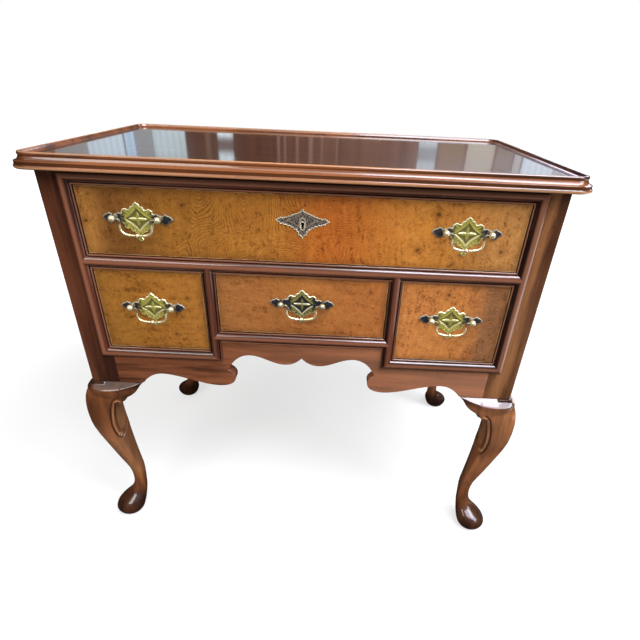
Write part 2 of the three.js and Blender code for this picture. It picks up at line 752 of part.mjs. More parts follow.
const backPanel = block(
  SEAM - INNER_X,
  INNER_X - SEAM,
  PANEL_FRONT_Y,
  PANEL_BACK_Y,
  LEG_HEIGHT + BACK_RISE,
  CASE_TOP_Z,
);
const backTenons = BACK_TENON_SPANS.flatMap((span) => [
  tenonX(-1, INNER_X, 1, BACK_DEPTH_SPAN, span),
  tenonX(1, INNER_X, 1, BACK_DEPTH_SPAN, span),
]);
piece(lowboy, 'back_panel', joined([backPanel, ...backTenons]), boardWood);

// The rails and dividers of the front, each with its moulding

const railEnd = INNER_X - SEAM;
const beadBack = FRONT_Y + SEAM;
const beadEnd = INNER_X + BEAD_WIDTH;
const drawerTopZ = TOP_OPENING_TOP - DRAWER_GAP;

// How far the bolt's front and back lie behind the drawer's face
const BOLT_FRONT = DRAWER_FRONT_THICKNESS - LOCK_MORTISE + LOCK_PROUD + SEAM;
const BOLT_BACK = BOLT_FRONT + BOLT_THICKNESS;

function glueTie(x0, x1, z0, z1) {
  return block(x0, x1, FRONT_Y - TIE, beadBack, z0, z1);
}

const topBead = beadAlongX(-beadEnd, beadEnd, TOP_OPENING_TOP, 1, BEAD_WIDTH - SEAM)
  .subtract(mitreWedge([
    [-beadEnd - OVERRUN, TOP_OPENING_TOP + BEAD_WIDTH + OVERRUN],
    [-INNER_X + OVERRUN, TOP_OPENING_TOP - OVERRUN],
    [-beadEnd - OVERRUN, TOP_OPENING_TOP - OVERRUN],
  ]))
  .subtract(mitreWedge([
    [beadEnd + OVERRUN, TOP_OPENING_TOP + BEAD_WIDTH + OVERRUN],
    [INNER_X - OVERRUN, TOP_OPENING_TOP - OVERRUN],
    [beadEnd + OVERRUN, TOP_OPENING_TOP - OVERRUN],
  ]));
const boltRoom = BOLT_CLEARANCE * 2;
const boltMortise = block(
  -BOLT_WIDTH / 2 - boltRoom,
  BOLT_WIDTH / 2 + boltRoom,
  FRONT_Y + BOLT_FRONT - boltRoom,
  FRONT_Y + BOLT_BACK + boltRoom,
  TOP_OPENING_TOP - OVERRUN,
  drawerTopZ + BOLT_TRAVEL + boltRoom,
);
const railTop = withBead(
  block(-railEnd, railEnd, ...TOP_RAIL_SPANS.flat()),
  topBead,
  glueTie(-railEnd, railEnd, TOP_OPENING_TOP, CASE_TOP_Z - SEAM),
)
  .add(tenonX(-1, INNER_X, 1, ...TOP_RAIL_SPANS))
  .add(tenonX(1, INNER_X, 1, ...TOP_RAIL_SPANS))
  .subtract(boltMortise);
piece(lowboy, 'rail_top', railTop, carcass);

// A pointed end, which runs into the moulding beside it as far as its middle.
function pointedEnds(reach, z0, z1) {
  const middle = (z0 + z1) / 2;
  const half = (z1 - z0) / 2;
  const tip = reach + half;
  const far = tip + OVERRUN;
  const wedges = [-1, 1].flatMap((side) => [
    mitreWedge([
      [side * (reach - OVERRUN), z1 + OVERRUN],
      [side * tip, middle],
      [side * far, middle],
      [side * far, z1 + OVERRUN],
    ]),
    mitreWedge([
      [side * (reach - OVERRUN), z0 - OVERRUN],
      [side * far, z0 - OVERRUN],
      [side * far, middle],
      [side * tip, middle],
    ]),
  ]);
  return { tip, wedges };
}

function crossRail(reach, spans) {
  const [z0, z1] = spans[1];
  const { tip, wedges } = pointedEnds(reach, z0, z1);
  let bead = beadAlongX(-tip, tip, z0, 1, z1 - z0, true);
  wedges.forEach((wedge) => {
    bead = bead.subtract(wedge);
  });
  const end = reach - SEAM;
  const body = joined([
    block(-end, end, ...spans.flat()),
    tenonX(-1, reach, 1, ...spans),
    tenonX(1, reach, 1, ...spans),
  ]);
  return withBead(body, bead, glueTie(-end, end, z0, z1));
}

// The dividers' tenons, and the tips of their mouldings, run up into the middle rail.
let railMiddle = crossRail(INNER_X, MIDDLE_RAIL_SPANS)
  .subtract(tenonZ(-1, SEAM))
  .subtract(tenonZ(1, SEAM));
[-1, 1].forEach((side) => {
  const middle = signed(side, DIVIDER_IN + DIVIDER_WIDTH / 2);
  const half = DIVIDER_WIDTH / 2 + SEAM;
  railMiddle = railMiddle.subtract(mitreWedge([
    [middle - half - OVERRUN, LOW_OPENING_TOP - OVERRUN],
    [middle + half + OVERRUN, LOW_OPENING_TOP - OVERRUN],
    [middle, LOW_OPENING_TOP + half],
  ]));
});
piece(lowboy, 'rail_middle', railMiddle, carcass);

piece(lowboy, 'rail_low_centre', crossRail(DIVIDER_IN, CENTRE_RAIL_SPANS), carcass);

function divider(side) {
  const innerX = signed(side, DIVIDER_IN);
  const outerX = signed(side, DIVIDER_OUT);
  const middleX = (innerX + outerX) / 2;
  const half = DIVIDER_WIDTH / 2;
  const railMid = (APRON_CENTRE_TOP + CENTRE_OPENING_BOTTOM) / 2;
  const railHalf = RAIL_LOW_HEIGHT / 2 + SEAM;
  const tip = LOW_OPENING_TOP + half;
  const past = signed(side, OVERRUN);
  const inset = signed(side, SEAM);
  const x0 = Math.min(innerX + inset, outerX - inset);
  const x1 = Math.max(innerX + inset, outerX - inset);
  const top = LOW_OPENING_TOP - SEAM;
  const body = block(x0, x1, FRONT_Y, BOARD_FRONT_Y, APRON_TOP, top)
    .add(tenonZ(side))
    .subtract(tenonX(side, DIVIDER_OUT, -1, ...SIDE_RAIL_SPANS, SEAM))
    .subtract(tenonX(side, DIVIDER_IN, 1, ...CENTRE_RAIL_SPANS, SEAM));
  const bead = beadAlongZ(APRON_TOP, tip, innerX, side, DIVIDER_WIDTH, true);
  return withBead(body, bead, glueTie(x0, x1, APRON_TOP, top))
    .subtract(mitreWedge([
      [middleX, tip],
      [middleX + half + OVERRUN, LOW_OPENING_TOP - OVERRUN],
      [middleX + half + OVERRUN, tip + OVERRUN],
      [middleX, tip + OVERRUN],
    ]))
    .subtract(mitreWedge([
      [middleX, tip],
      [middleX, tip + OVERRUN],
      [middleX - half - OVERRUN, tip + OVERRUN],
      [middleX - half - OVERRUN, LOW_OPENING_TOP - OVERRUN],
    ]))
    .subtract(mitreWedge([
      [outerX + past, SIDE_OPENING_BOTTOM + SEAM + OVERRUN],
      [innerX - past, APRON_TOP + SEAM - OVERRUN],
      [outerX + past, APRON_TOP + SEAM - OVERRUN],
    ]))
    .subtract(mitreWedge([
      [innerX - past, railMid + railHalf + OVERRUN],
      [innerX + signed(side, railHalf), railMid],
      [innerX - past, railMid - railHalf - OVERRUN],
    ]));
}
piece(lowboy, 'divider_left', divider(-1), carcass);
piece(lowboy, 'divider_right', divider(1), carcass);

function lowSideRail(side) {
  const bottom = SIDE_OPENING_BOTTOM - BEAD_WIDTH;
  const reach = [signed(side, DIVIDER_IN), signed(side, beadEnd)].sort((a, b) => a - b);
  const bead = beadAlongX(...reach, SIDE_OPENING_BOTTOM, -1, BEAD_WIDTH)
    .subtract(mitreWedge([
      [signed(side, INNER_X - OVERRUN), SIDE_OPENING_BOTTOM + OVERRUN],
      [signed(side, beadEnd + OVERRUN), bottom - OVERRUN],
      [signed(side, beadEnd + OVERRUN), SIDE_OPENING_BOTTOM + OVERRUN],
    ]))
    .subtract(mitreWedge([
      [signed(side, DIVIDER_OUT + OVERRUN), SIDE_OPENING_BOTTOM + OVERRUN],
      [signed(side, DIVIDER_IN - OVERRUN), SIDE_OPENING_BOTTOM + OVERRUN],
      [signed(side, DIVIDER_IN - OVERRUN), APRON_TOP - OVERRUN],
    ]));
  const low = DIVIDER_OUT + SEAM;
  const ends = [signed(side, low), signed(side, railEnd)].sort((a, b) => a - b);
  const body = joined([
    block(...ends, ...SIDE_RAIL_SPANS.flat()),
    tenonX(side, INNER_X, 1, ...SIDE_RAIL_SPANS),
    tenonX(side, DIVIDER_OUT, -1, ...SIDE_RAIL_SPANS),
  ]);
  return withBead(body, bead, glueTie(...ends, APRON_TOP, SIDE_OPENING_BOTTOM));
}
piece(lowboy, 'rail_low_left', lowSideRail(-1), carcass);
piece(lowboy, 'rail_low_right', lowSideRail(1), carcass);

// The boards that the drawers run on, with guides beside the outer drawers

const boardFront = BOARD_FRONT_Y + SEAM;
const boardBack = PANEL_FRONT_Y - SEAM;
const guideFront = Math.max(boardFront, POST_FRONT_Y + SEAM);
const guideBack = POST_REAR_Y - SEAM;

function runnerBoard(x0, x1, z, guides) {
  let solid = block(x0, x1, boardFront, boardBack, z - DUST_BOARD_THICKNESS, z);
  guides.forEach((side) => {
    const low = z - DUST_BOARD_THICKNESS;
    const inner = INNER_X - OVERRUN;
    solid = solid
      .add(spanX(side, inner, PANEL_X - SEAM, guideFront, guideBack, low, z))
      .add(spanX(side, INNER_X, PANEL_X - SEAM, guideFront, guideBack, low, z + GUIDE_HEIGHT));
  });
  return solid;
}

const dustBoard = runnerBoard(-railEnd, railEnd, TOP_OPENING_BOTTOM, [-1, 1]);
piece(lowboy, 'dust_board', dustBoard, boardWood);
const boardLeft = runnerBoard(-railEnd, -DIVIDER_OUT, SIDE_OPENING_BOTTOM, [-1]);
piece(lowboy, 'bottom_board_left', boardLeft, boardWood);
const boardRight = runnerBoard(DIVIDER_OUT, railEnd, SIDE_OPENING_BOTTOM, [1]);
piece(lowboy, 'bottom_board_right', boardRight, boardWood);
const boardCentre = runnerBoard(-DIVIDER_IN, DIVIDER_IN, CENTRE_OPENING_BOTTOM, []);
piece(lowboy, 'bottom_board_centre', boardCentre, boardWood);

const partitionTop = TOP_OPENING_BOTTOM - DUST_BOARD_THICKNESS - SEAM;
function partition(side) {
  const inner = DIVIDER_IN + SEAM;
  const outer = DIVIDER_OUT - SEAM;
  return spanX(side, inner, outer, boardFront, boardBack, APRON_TOP, partitionTop);
}
piece(lowboy, 'partition_left', partition(-1), boardWood);
piece(lowboy, 'partition_right', partition(1), boardWood);

// The drawers. Each is a group whose origin is in the plane of the case's front, at the
// middle of the opening's lower edge.

// The tails of a drawer side, wider at their ends, as outlines in (y, z). A socket is the same
// outline with an allowance all round, and both may run past the tail's root or its end.
function tailOutlines(height, rootY, endY, { pastRoot = 0, pastEnd = 0, allowance = 0 }) {
  const count = Math.max(LEAST_TAILS, Math.round(height / TAIL_PITCH));
  const pitch = height / count;
  const direction = Math.sign(endY - rootY);
  const widening = (TAIL_END_SHARE - TAIL_ROOT_SHARE) * pitch;
  const halfAt = (y) => TAIL_ROOT_SHARE * pitch + (widening * (y - rootY)) / (endY - rootY);
  const y0 = rootY - direction * pastRoot;
  const y1 = endY + direction * pastEnd;
  const outlines = [];
  for (let tail = 0; tail < count; tail += 1) {
    const middle = RUNNER_GAP + pitch * (tail + 1 / 2);
    outlines.push(polygon([
      [y0, middle - halfAt(y0) - allowance],
      [y0, middle + halfAt(y0) + allowance],
      [y1, middle + halfAt(y1) + allowance],
      [y1, middle - halfAt(y1) - allowance],
    ]));
  }
  return outlines;
}

function keyholeShape(x, z) {
  const shape = new THREE.Shape();
  const slotHalf = KEYHOLE_SLOT / 2;
  const start = -Math.asin(slotHalf / KEYHOLE_RADIUS);
  shape.moveTo(x - slotHalf, z - KEYHOLE_DROP);
  shape.lineTo(x + slotHalf, z - KEYHOLE_DROP);
  const low = -Math.PI / 2 - start;
  shape.absarc(x, z, KEYHOLE_RADIUS, low, Math.PI * 1.5 + start, false);
  return shape;
}

// The outline of a handle's plate on its right half, a cusped edge of leaves that ends in a
// wing: [share of half the width, share of the peak above the posts, or of the tip below them].
const plateUpperShares = [
  [0, 1], [0.045, 0.91], [0.094, 0.83], [0.1, 0.73],
  [0.15, 0.71], [0.205, 0.54],
  [0.266, 0.505], [0.36, 0.545], [0.443, 0.385], [0.44, 0.29],
  [0.53, 0.27], [0.61, 0.175],
  [0.665, 0.14], [0.757, 0.245], [0.808, 0.27], [0.83, 0.19],
  [0.93, 0.11], [1, 0],
];
const plateLowerShares = [
  [0.94, 0.125], [0.87, 0.17],
  [0.785, 0.275], [0.71, 0.245], [0.667, 0.185],
  [0.59, 0.195], [0.478, 0.205],
  [0.408, 0.33], [0.412, 0.4], [0.34, 0.48], [0.247, 0.45],
  [0.208, 0.588], [0.149, 0.577],
  [0.078, 0.66], [0.043, 0.7],
  [0.041, 0.77], [0.092, 0.875], [0, 1],
];

// A closed outline from the shares of its right half, which start and end on the middle line
function mirroredOutline(upperShares, lowerShares, half, peak, tip) {
  const right = [
    ...upperShares.map(([across, up]) => [across * half, up * peak]),
    ...lowerShares.map(([across, down]) => [across * half, -down * tip]),
  ];
  const left = right.slice(1, -1).reverse().map(([x, z]) => [-x, z]);
  return [...right, ...left];
}

// The ball on a post is a part of half a turn, which leaves room for its neck.
const ballTurnShare = 0.9;

// The plate with its two posts, which run through the drawer front to nuts behind it.
function handlePlate() {
  const outline = mirroredOutline(
    plateUpperShares,
    plateLowerShares,
    PLATE_WIDTH / 2,
    PLATE_PEAK,
    PLATE_TIP,
  );
  let solid = prism(polygon(outline), 'y', -PLATE_THICKNESS, -SEAM);
  const eyeRadius = WIRE_RADIUS + EYE_CLEARANCE;
  const middleY = -PLATE_THICKNESS / 2;
  const collarY = -PLATE_THICKNESS - COLLAR_HEIGHT;
  const inside = DRAWER_FRONT_THICKNESS + SEAM;
  [-1, 1].forEach((side) => {
    const x = (side * POST_SPACING) / 2;
    const ball = [];
    for (let step = 1; step < ROUND_STEPS / 2; step += 1) {
      const angle = (Math.PI * ballTurnShare * step) / (ROUND_STEPS / 2);
      ball.push([Math.sin(angle) * BALL_RADIUS, -PIVOT_STANDOFF - Math.cos(angle) * BALL_RADIUS]);
    }
    const profile = [
      [0, -PIVOT_STANDOFF - BALL_RADIUS],
      ...ball,
      [NECK_RADIUS, collarY - COLLAR_HEIGHT],
      [COLLAR_RADIUS, collarY],
      [COLLAR_RADIUS, middleY],
      [SHANK_RADIUS, middleY],
      [SHANK_RADIUS, inside],
      [NUT_RADIUS, inside],
      [NUT_RADIUS, inside + NUT_HEIGHT],
      [0, inside + NUT_HEIGHT],
    ];
    const eye = new THREE.Shape();
    eye.absarc(-PIVOT_STANDOFF, 0, eyeRadius, 0, Math.PI * 2);
    const ends = [x + side * PIN_DEPTH, x - side * (BALL_RADIUS + OVERRUN)].sort((a, b) => a - b);
    solid = solid.add(turned(profile, x, 0)).subtract(prism(eye, 'x', ...ends));
  });
  return solid;
}

// The bail: a swelling wire through these places, as shares of half its width and its drop,
// from the pin's end to the middle.
const bailShares = [
  [1.17, 0], [1.05, 0.03], [0.98, 0.2], [1.02, 0.42], [0.98, 0.68], [0.8, 0.88],
  [0.5, 0.97], [0.2, 1],
];

// The knop at the bail's middle: [share of its half length, share of the wire's radius].
const knopHalfShares = [[-0.98, 1.35], [-0.7, 1.35], [-0.62, 1], [-0.4, 1.65]];
const knopMiddleShares = [0, 1.83];

function bail() {
  const half = POST_SPACING / 2 - BAIL_INSET;
  const pinEnd = POST_SPACING / 2 + PIN_DEPTH - EYE_CLEARANCE;
  const rightHalf = [
    [pinEnd, 0],
    ...bailShares.map(([across, down]) => [across * half, -down * BAIL_DROP]),
  ];
  const leftHalf = rightHalf.map(([x, z]) => [-x, z]).reverse();
  const places = [...rightHalf, [0, -BAIL_DROP], ...leftHalf];
  const curve = new THREE.CatmullRomCurve3(places.map(([x, z]) => new THREE.Vector3(x, 0, z)));
  const length = curve.getLength();
  const knopHalf = KNOP_LENGTH / 2 / length;
  const steps = [];
  for (let step = 0; step <= WIRE_STEPS; step += 1) {
    steps.push((step / WIRE_STEPS) * (1 / 2 - knopHalf));
  }
  const knop = [
    ...knopHalfShares,
    knopMiddleShares,
    ...knopHalfShares.map(([at, fat]) => [-at, fat]).reverse(),
  ];
  const stations = [
    ...steps.map((at) => [at, 1]),
    ...knop.map(([at, fat]) => [1 / 2 + at * knopHalf, fat]),
    ...steps.map((at) => [1 - at, 1]).reverse(),
  ];
  const sideways = new THREE.Vector3(0, 1, 0);
  const rings = stations.map(([at, fat]) => {
    const middle = curve.getPointAt(at);
    const inwards = new THREE.Vector3().crossVectors(curve.getTangentAt(at), sideways);
    const ring = [];
    for (let side = 0; side < WIRE_SIDES; side += 1) {
      const angle = (side / WIRE_SIDES) * Math.PI * 2;
      const radius = Math.min(fat * WIRE_RADIUS, KNOP_RADIUS);
      ring.push(middle.clone()
        .addScaledVector(sideways, Math.cos(angle) * radius)
        .addScaledVector(inwards, Math.sin(angle) * radius));
    }
    return ring;
  });
  return loft(rings);
}

function addHandle(drawer, name, x, z) {
  const handle = new THREE.Group();
  handle.position.set(x, 0, z);
  drawer.add(handle);
  piece(handle, `plate_${name}`, handlePlate(), agedBrass);
  const swing = piece(handle, `bail_${name}`, bail(), brightBrass);
  swing.position.y = -PIVOT_STANDOFF;
}

// The escutcheon, a diamond with a serrated edge, in the same shares as a plate's outline
const escutcheonUpperShares = [
  [0, 1], [0.045, 0.84], [0.1, 0.72], [0.15, 0.69], [0.2, 0.6], [0.26, 0.59], [0.32, 0.5],
  [0.38, 0.49], [0.44, 0.39], [0.51, 0.375], [0.57, 0.29], [0.65, 0.27], [0.71, 0.2],
  [0.78, 0.29], [0.84, 0.2], [1, 0],
];
const escutcheonLowerShares = [
  [0.84, 0.12], [0.79, 0.22], [0.73, 0.17], [0.67, 0.25], [0.6, 0.23], [0.53, 0.31],
  [0.46, 0.29], [0.4, 0.39], [0.34, 0.37], [0.3, 0.49], [0.23, 0.47], [0.2, 0.6],
  [0.15, 0.6], [0.17, 0.72], [0.08, 0.78], [0, 1],
];

function escutcheon(tipsZ, keyZ) {
  const outline = mirroredOutline(
    escutcheonUpperShares,
    escutcheonLowerShares,
    ESCUTCHEON_WIDTH / 2,
    ESCUTCHEON_PEAK,
    ESCUTCHEON_TIP,
  );
  const shape = polygon(outline.map(([x, up]) => [x, tipsZ + up]));
  return prism(shape, 'y', -ESCUTCHEON_THICKNESS, -SEAM)
    .subtract(prism(keyholeShape(0, keyZ), 'y', -ESCUTCHEON_THICKNESS - OVERRUN, OVERRUN));
}

function addDrawer(name, openingX, openingZ, openingWidth, openingHeight, handles, locked) {
  const drawer = new THREE.Group();
  drawer.position.set(openingX, FRONT_Y, openingZ);
  lowboy.add(drawer);

  const halfWidth = openingWidth / 2 - DRAWER_GAP;
  const innerHalf = halfWidth - DRAWER_SIDE_THICKNESS;
  const topZ = openingHeight - DRAWER_GAP;
  const sideTop = topZ - DRAWER_SIDE_DROP;
  const sideHeight = sideTop - RUNNER_GAP;
  const frontBack = DRAWER_FRONT_THICKNESS;
  const backFront = DRAWER_LENGTH - DRAWER_BACK_THICKNESS;
  const floorZ = RUNNER_GAP + DRAWER_BOTTOM_LIFT;
  const floorTop = floorZ + DRAWER_BOTTOM_THICKNESS;
  const centreZ = openingHeight / 2;
  const tipsZ = centreZ + ESCUTCHEON_RAISE;
  const keyZ = tipsZ - KEYHOLE_LOWERED;

  // The front: sockets for the tails at each end, and a groove for the bottom
  let front = block(-halfWidth, halfWidth, 0, frontBack, DRAWER_GAP, topZ).subtract(block(
    -innerHalf,
    innerHalf,
    frontBack - GROOVE_DEPTH - SEAM,
    frontBack + OVERRUN,
    floorZ - SEAM,
    floorTop + SEAM,
  ));
  const socket = { pastRoot: SEAM, pastEnd: SEAM, allowance: SEAM };
  const tailEnd = frontBack - TAIL_LENGTH;
  tailOutlines(sideHeight, frontBack, tailEnd, socket).forEach((outline) => {
    front = front
      .subtract(prism(outline, 'x', -halfWidth - OVERRUN, -innerHalf + SEAM))
      .subtract(prism(outline, 'x', innerHalf - SEAM, halfWidth + OVERRUN));
  });
  handles.forEach(([, x, raise]) => {
    [-1, 1].forEach((side) => {
      const hole = new THREE.Shape();
      const holeX = x + (side * POST_SPACING) / 2;
      hole.absarc(holeX, centreZ + raise, SHANK_RADIUS + EYE_CLEARANCE, 0, Math.PI * 2);
      front = front.subtract(prism(hole, 'y', -OVERRUN, frontBack + OVERRUN, CURVE_STEPS / 2));
    });
  });
  if (locked) {
    const recess = LOCK_WIDTH / 2 + SEAM;
    const recessFront = frontBack - LOCK_MORTISE - SEAM;
    const recessLow = topZ - LOCK_HEIGHT - SEAM;
    front = front
      .subtract(block(-recess, recess, recessFront, frontBack + OVERRUN, recessLow, topZ + OVERRUN))
      .subtract(prism(keyholeShape(0, keyZ), 'y', -OVERRUN, frontBack));
  }
  piece(drawer, `${name}_front`, front, burrWalnut);

  // The sides: tails at both ends, and a groove for the bottom
  [-1, 1].forEach((side) => {
    const outer = side * halfWidth;
    const inner = side * innerHalf;
    const across = [outer, inner].sort((a, b) => a - b);
    let board = block(
      ...across,
      frontBack + SEAM,
      backFront - SEAM,
      RUNNER_GAP,
      sideTop,
    );
    const rooted = { pastRoot: OVERRUN };
    const frontTails = tailOutlines(sideHeight, frontBack, tailEnd, rooted);
    const backTails = tailOutlines(sideHeight, backFront, DRAWER_LENGTH, rooted);
    [...frontTails, ...backTails].forEach((outline) => {
      board = board.add(prism(outline, 'x', ...across));
    });
    const groove = [inner - side * OVERRUN, inner + side * (GROOVE_DEPTH + SEAM)];
    groove.sort((a, b) => a - b);
    board = board.subtract(block(
      ...groove,
      frontBack - SEAM,
      DRAWER_LENGTH + OVERRUN,
      floorZ - SEAM,
      floorTop + SEAM,
    ));
    piece(drawer, `${name}_side_${side < 0 ? 'left' : 'right'}`, board, drawerOak);
  });

  // The back stands on the bottom, between and behind the tails of the sides
  let back = block(
    -halfWidth,
    halfWidth,
    backFront,
    DRAWER_LENGTH,
    floorTop + SEAM,
    sideTop - DRAWER_SIDE_DROP,
  );
  const backSocket = { pastRoot: OVERRUN, pastEnd: OVERRUN, allowance: SEAM };
  tailOutlines(sideHeight, backFront, DRAWER_LENGTH, backSocket).forEach((outline) => {
    back = back
      .subtract(prism(outline, 'x', -halfWidth - OVERRUN, -innerHalf + SEAM))
      .subtract(prism(outline, 'x', innerHalf - SEAM, halfWidth + OVERRUN));
  });
  piece(drawer, `${name}_back`, back, drawerOak);

  // The bottom, in the grooves of the sides and the front
  const panelHalf = innerHalf + GROOVE_DEPTH;
  const tongueHalf = innerHalf - SEAM;
  const tongueFront = frontBack - GROOVE_DEPTH;
  const panel = block(-panelHalf, panelHalf, frontBack + SEAM, DRAWER_LENGTH, floorZ, floorTop)
    .add(block(-tongueHalf, tongueHalf, tongueFront, frontBack + OVERRUN, floorZ, floorTop));
  piece(drawer, `${name}_bottom`, panel, drawerOak);

  handles.forEach(([label, x, raise]) => addHandle(drawer, label, x, centreZ + raise));

  if (locked) {
    piece(drawer, 'escutcheon', escutcheon(tipsZ, keyZ), agedBrass);
    const lockFront = frontBack - LOCK_MORTISE;
    const boltHalf = BOLT_WIDTH / 2;
    const boltTop = topZ - BOLT_SINK;
    const boltLow = boltTop - BOLT_LENGTH;
    const channel = block(
      -boltHalf - BOLT_CLEARANCE,
      boltHalf + BOLT_CLEARANCE,
      BOLT_FRONT - BOLT_CLEARANCE,
      BOLT_BACK + BOLT_CLEARANCE,
      boltLow - BOLT_CLEARANCE,
      topZ + OVERRUN,
    );
    const lockBack = frontBack + LOCK_PROUD;
    const lockHalf = LOCK_WIDTH / 2;
    const keyCut = prism(keyholeShape(0, keyZ), 'y', lockFront - OVERRUN, lockFront + KEYHOLE_DEPTH);
    const lockCase = block(-lockHalf, lockHalf, lockFront, lockBack, topZ - LOCK_HEIGHT, topZ)
      .subtract(channel)
      .subtract(keyCut);
    piece(drawer, 'lock_case', lockCase, steel);
    const bolt = block(-boltHalf, boltHalf, BOLT_FRONT, BOLT_BACK, boltLow, boltTop);
    piece(drawer, 'lock_bolt', bolt, steel);
  }
}

const longHandleX = INNER_X - HANDLE_INSET;
addDrawer(
  'drawer_top',
  0,
  TOP_OPENING_BOTTOM,
  INNER_X * 2,
  TOP_OPENING_HEIGHT,
  [['top_left', -longHandleX, HANDLE_RAISE], ['top_right', longHandleX, HANDLE_RAISE]],
  true,
);
addDrawer(
  'drawer_left',
  -SIDE_OPENING_X,
  SIDE_OPENING_BOTTOM,
  SIDE_OPENING_WIDTH,
  SIDE_OPENING_HEIGHT,
  [['left', 0, SIDE_HANDLE_RAISE]],
  false,
);
addDrawer(
  'drawer_centre',
  0,
  CENTRE_OPENING_BOTTOM,
  CENTRE_OPENING_WIDTH,
  CENTRE_OPENING_HEIGHT,
  [['centre', 0, HANDLE_RAISE]],
  false,
);
addDrawer(
  'drawer_right',
  SIDE_OPENING_X,
  SIDE_OPENING_BOTTOM,
  SIDE_OPENING_WIDTH,
  SIDE_OPENING_HEIGHT,
  [['right', 0, SIDE_HANDLE_RAISE]],
  false,
);

export default lowboy;
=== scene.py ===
# The looks of a walnut lowboy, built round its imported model. Metres, +Z up, front towards -Y.

import math

import bmesh
import bpy
import numpy as np
from mathutils import Matrix, Vector
from mathutils.geometry import delaunay_2d_cdt


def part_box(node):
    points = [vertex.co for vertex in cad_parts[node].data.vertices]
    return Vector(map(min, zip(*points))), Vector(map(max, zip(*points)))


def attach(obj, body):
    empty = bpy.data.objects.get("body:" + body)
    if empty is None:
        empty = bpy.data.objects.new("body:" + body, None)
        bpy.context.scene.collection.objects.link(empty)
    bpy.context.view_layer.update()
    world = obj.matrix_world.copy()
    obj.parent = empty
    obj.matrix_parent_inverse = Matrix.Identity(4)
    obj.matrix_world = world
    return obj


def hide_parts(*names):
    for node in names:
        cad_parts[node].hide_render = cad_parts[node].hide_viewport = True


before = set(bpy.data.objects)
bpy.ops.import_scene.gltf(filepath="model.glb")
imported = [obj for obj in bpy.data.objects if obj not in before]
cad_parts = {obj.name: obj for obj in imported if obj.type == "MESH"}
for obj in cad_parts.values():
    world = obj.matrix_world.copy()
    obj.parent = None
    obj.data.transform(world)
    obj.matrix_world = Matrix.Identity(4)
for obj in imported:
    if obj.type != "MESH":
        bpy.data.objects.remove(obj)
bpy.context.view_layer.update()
MM = 0.001
SEAM = 0.1 * MM
SIDES = (("left", -1), ("right", 1))

# Places of the case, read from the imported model

OPENINGS = {
    name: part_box(f"drawer_{name}_front") for name in ("top", "left", "centre", "right")
}
MIDDLE_LOW, MIDDLE_HIGH = (corner.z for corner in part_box("rail_middle"))
APRON_TOP, SIDE_BOTTOM = (corner.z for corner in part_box("rail_low_right"))
APRON_CENTRE_TOP, CENTRE_BOTTOM = (corner.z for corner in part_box("rail_low_centre"))
TOP_OPENING_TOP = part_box("rail_top")[0].z
LEG_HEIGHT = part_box("apron_front")[0].z
CASE_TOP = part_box("side_right")[1].z
HALF_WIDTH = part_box("side_right")[1].x
FRONT_Y = OPENINGS["top"][0].y
RAIL_BACK_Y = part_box("rail_middle")[1].y
# A side panel reaches as far into the front post as into the rear one.
BACK_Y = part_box("side_right")[0].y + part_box("side_right")[1].y - FRONT_Y
DRAWER_GAP = OPENINGS["top"][0].z - MIDDLE_HIGH
INNER_X = OPENINGS["top"][1].x + DRAWER_GAP
POST = HALF_WIDTH - INNER_X
DIVIDER_IN = OPENINGS["centre"][1].x + DRAWER_GAP
DIVIDER_OUT = OPENINGS["right"][0].x - DRAWER_GAP
DIVIDER_WIDTH = DIVIDER_OUT - DIVIDER_IN


# Node trees

class Socket:
    """An output in a node tree. Arithmetic on it adds nodes and gives another output."""

    def __init__(self, tree, output):
        self.tree = tree
        self.output = output
        self.vector = output.type != "VALUE"

    def __add__(self, other):
        return self.tree.math("ADD", self, other)

    def __sub__(self, other):
        return self.tree.math("SUBTRACT", self, other)

    def __rsub__(self, other):
        return self.tree.math("SUBTRACT", other, self)

    def __mul__(self, other):
        return self.tree.math("MULTIPLY", self, other)

    def length(self):
        return self.tree.math("LENGTH", self, key="Value")

    def ramp(self, low, high, start=0, end=1):
        """low to high becomes start to end, smoothly and clamped."""
        inputs = {"Value": self, "From Min": low, "From Max": high, "To Min": start, "To Max": end}
        return self.tree.out("MapRange", inputs, "Result", interpolation_type="SMOOTHSTEP")


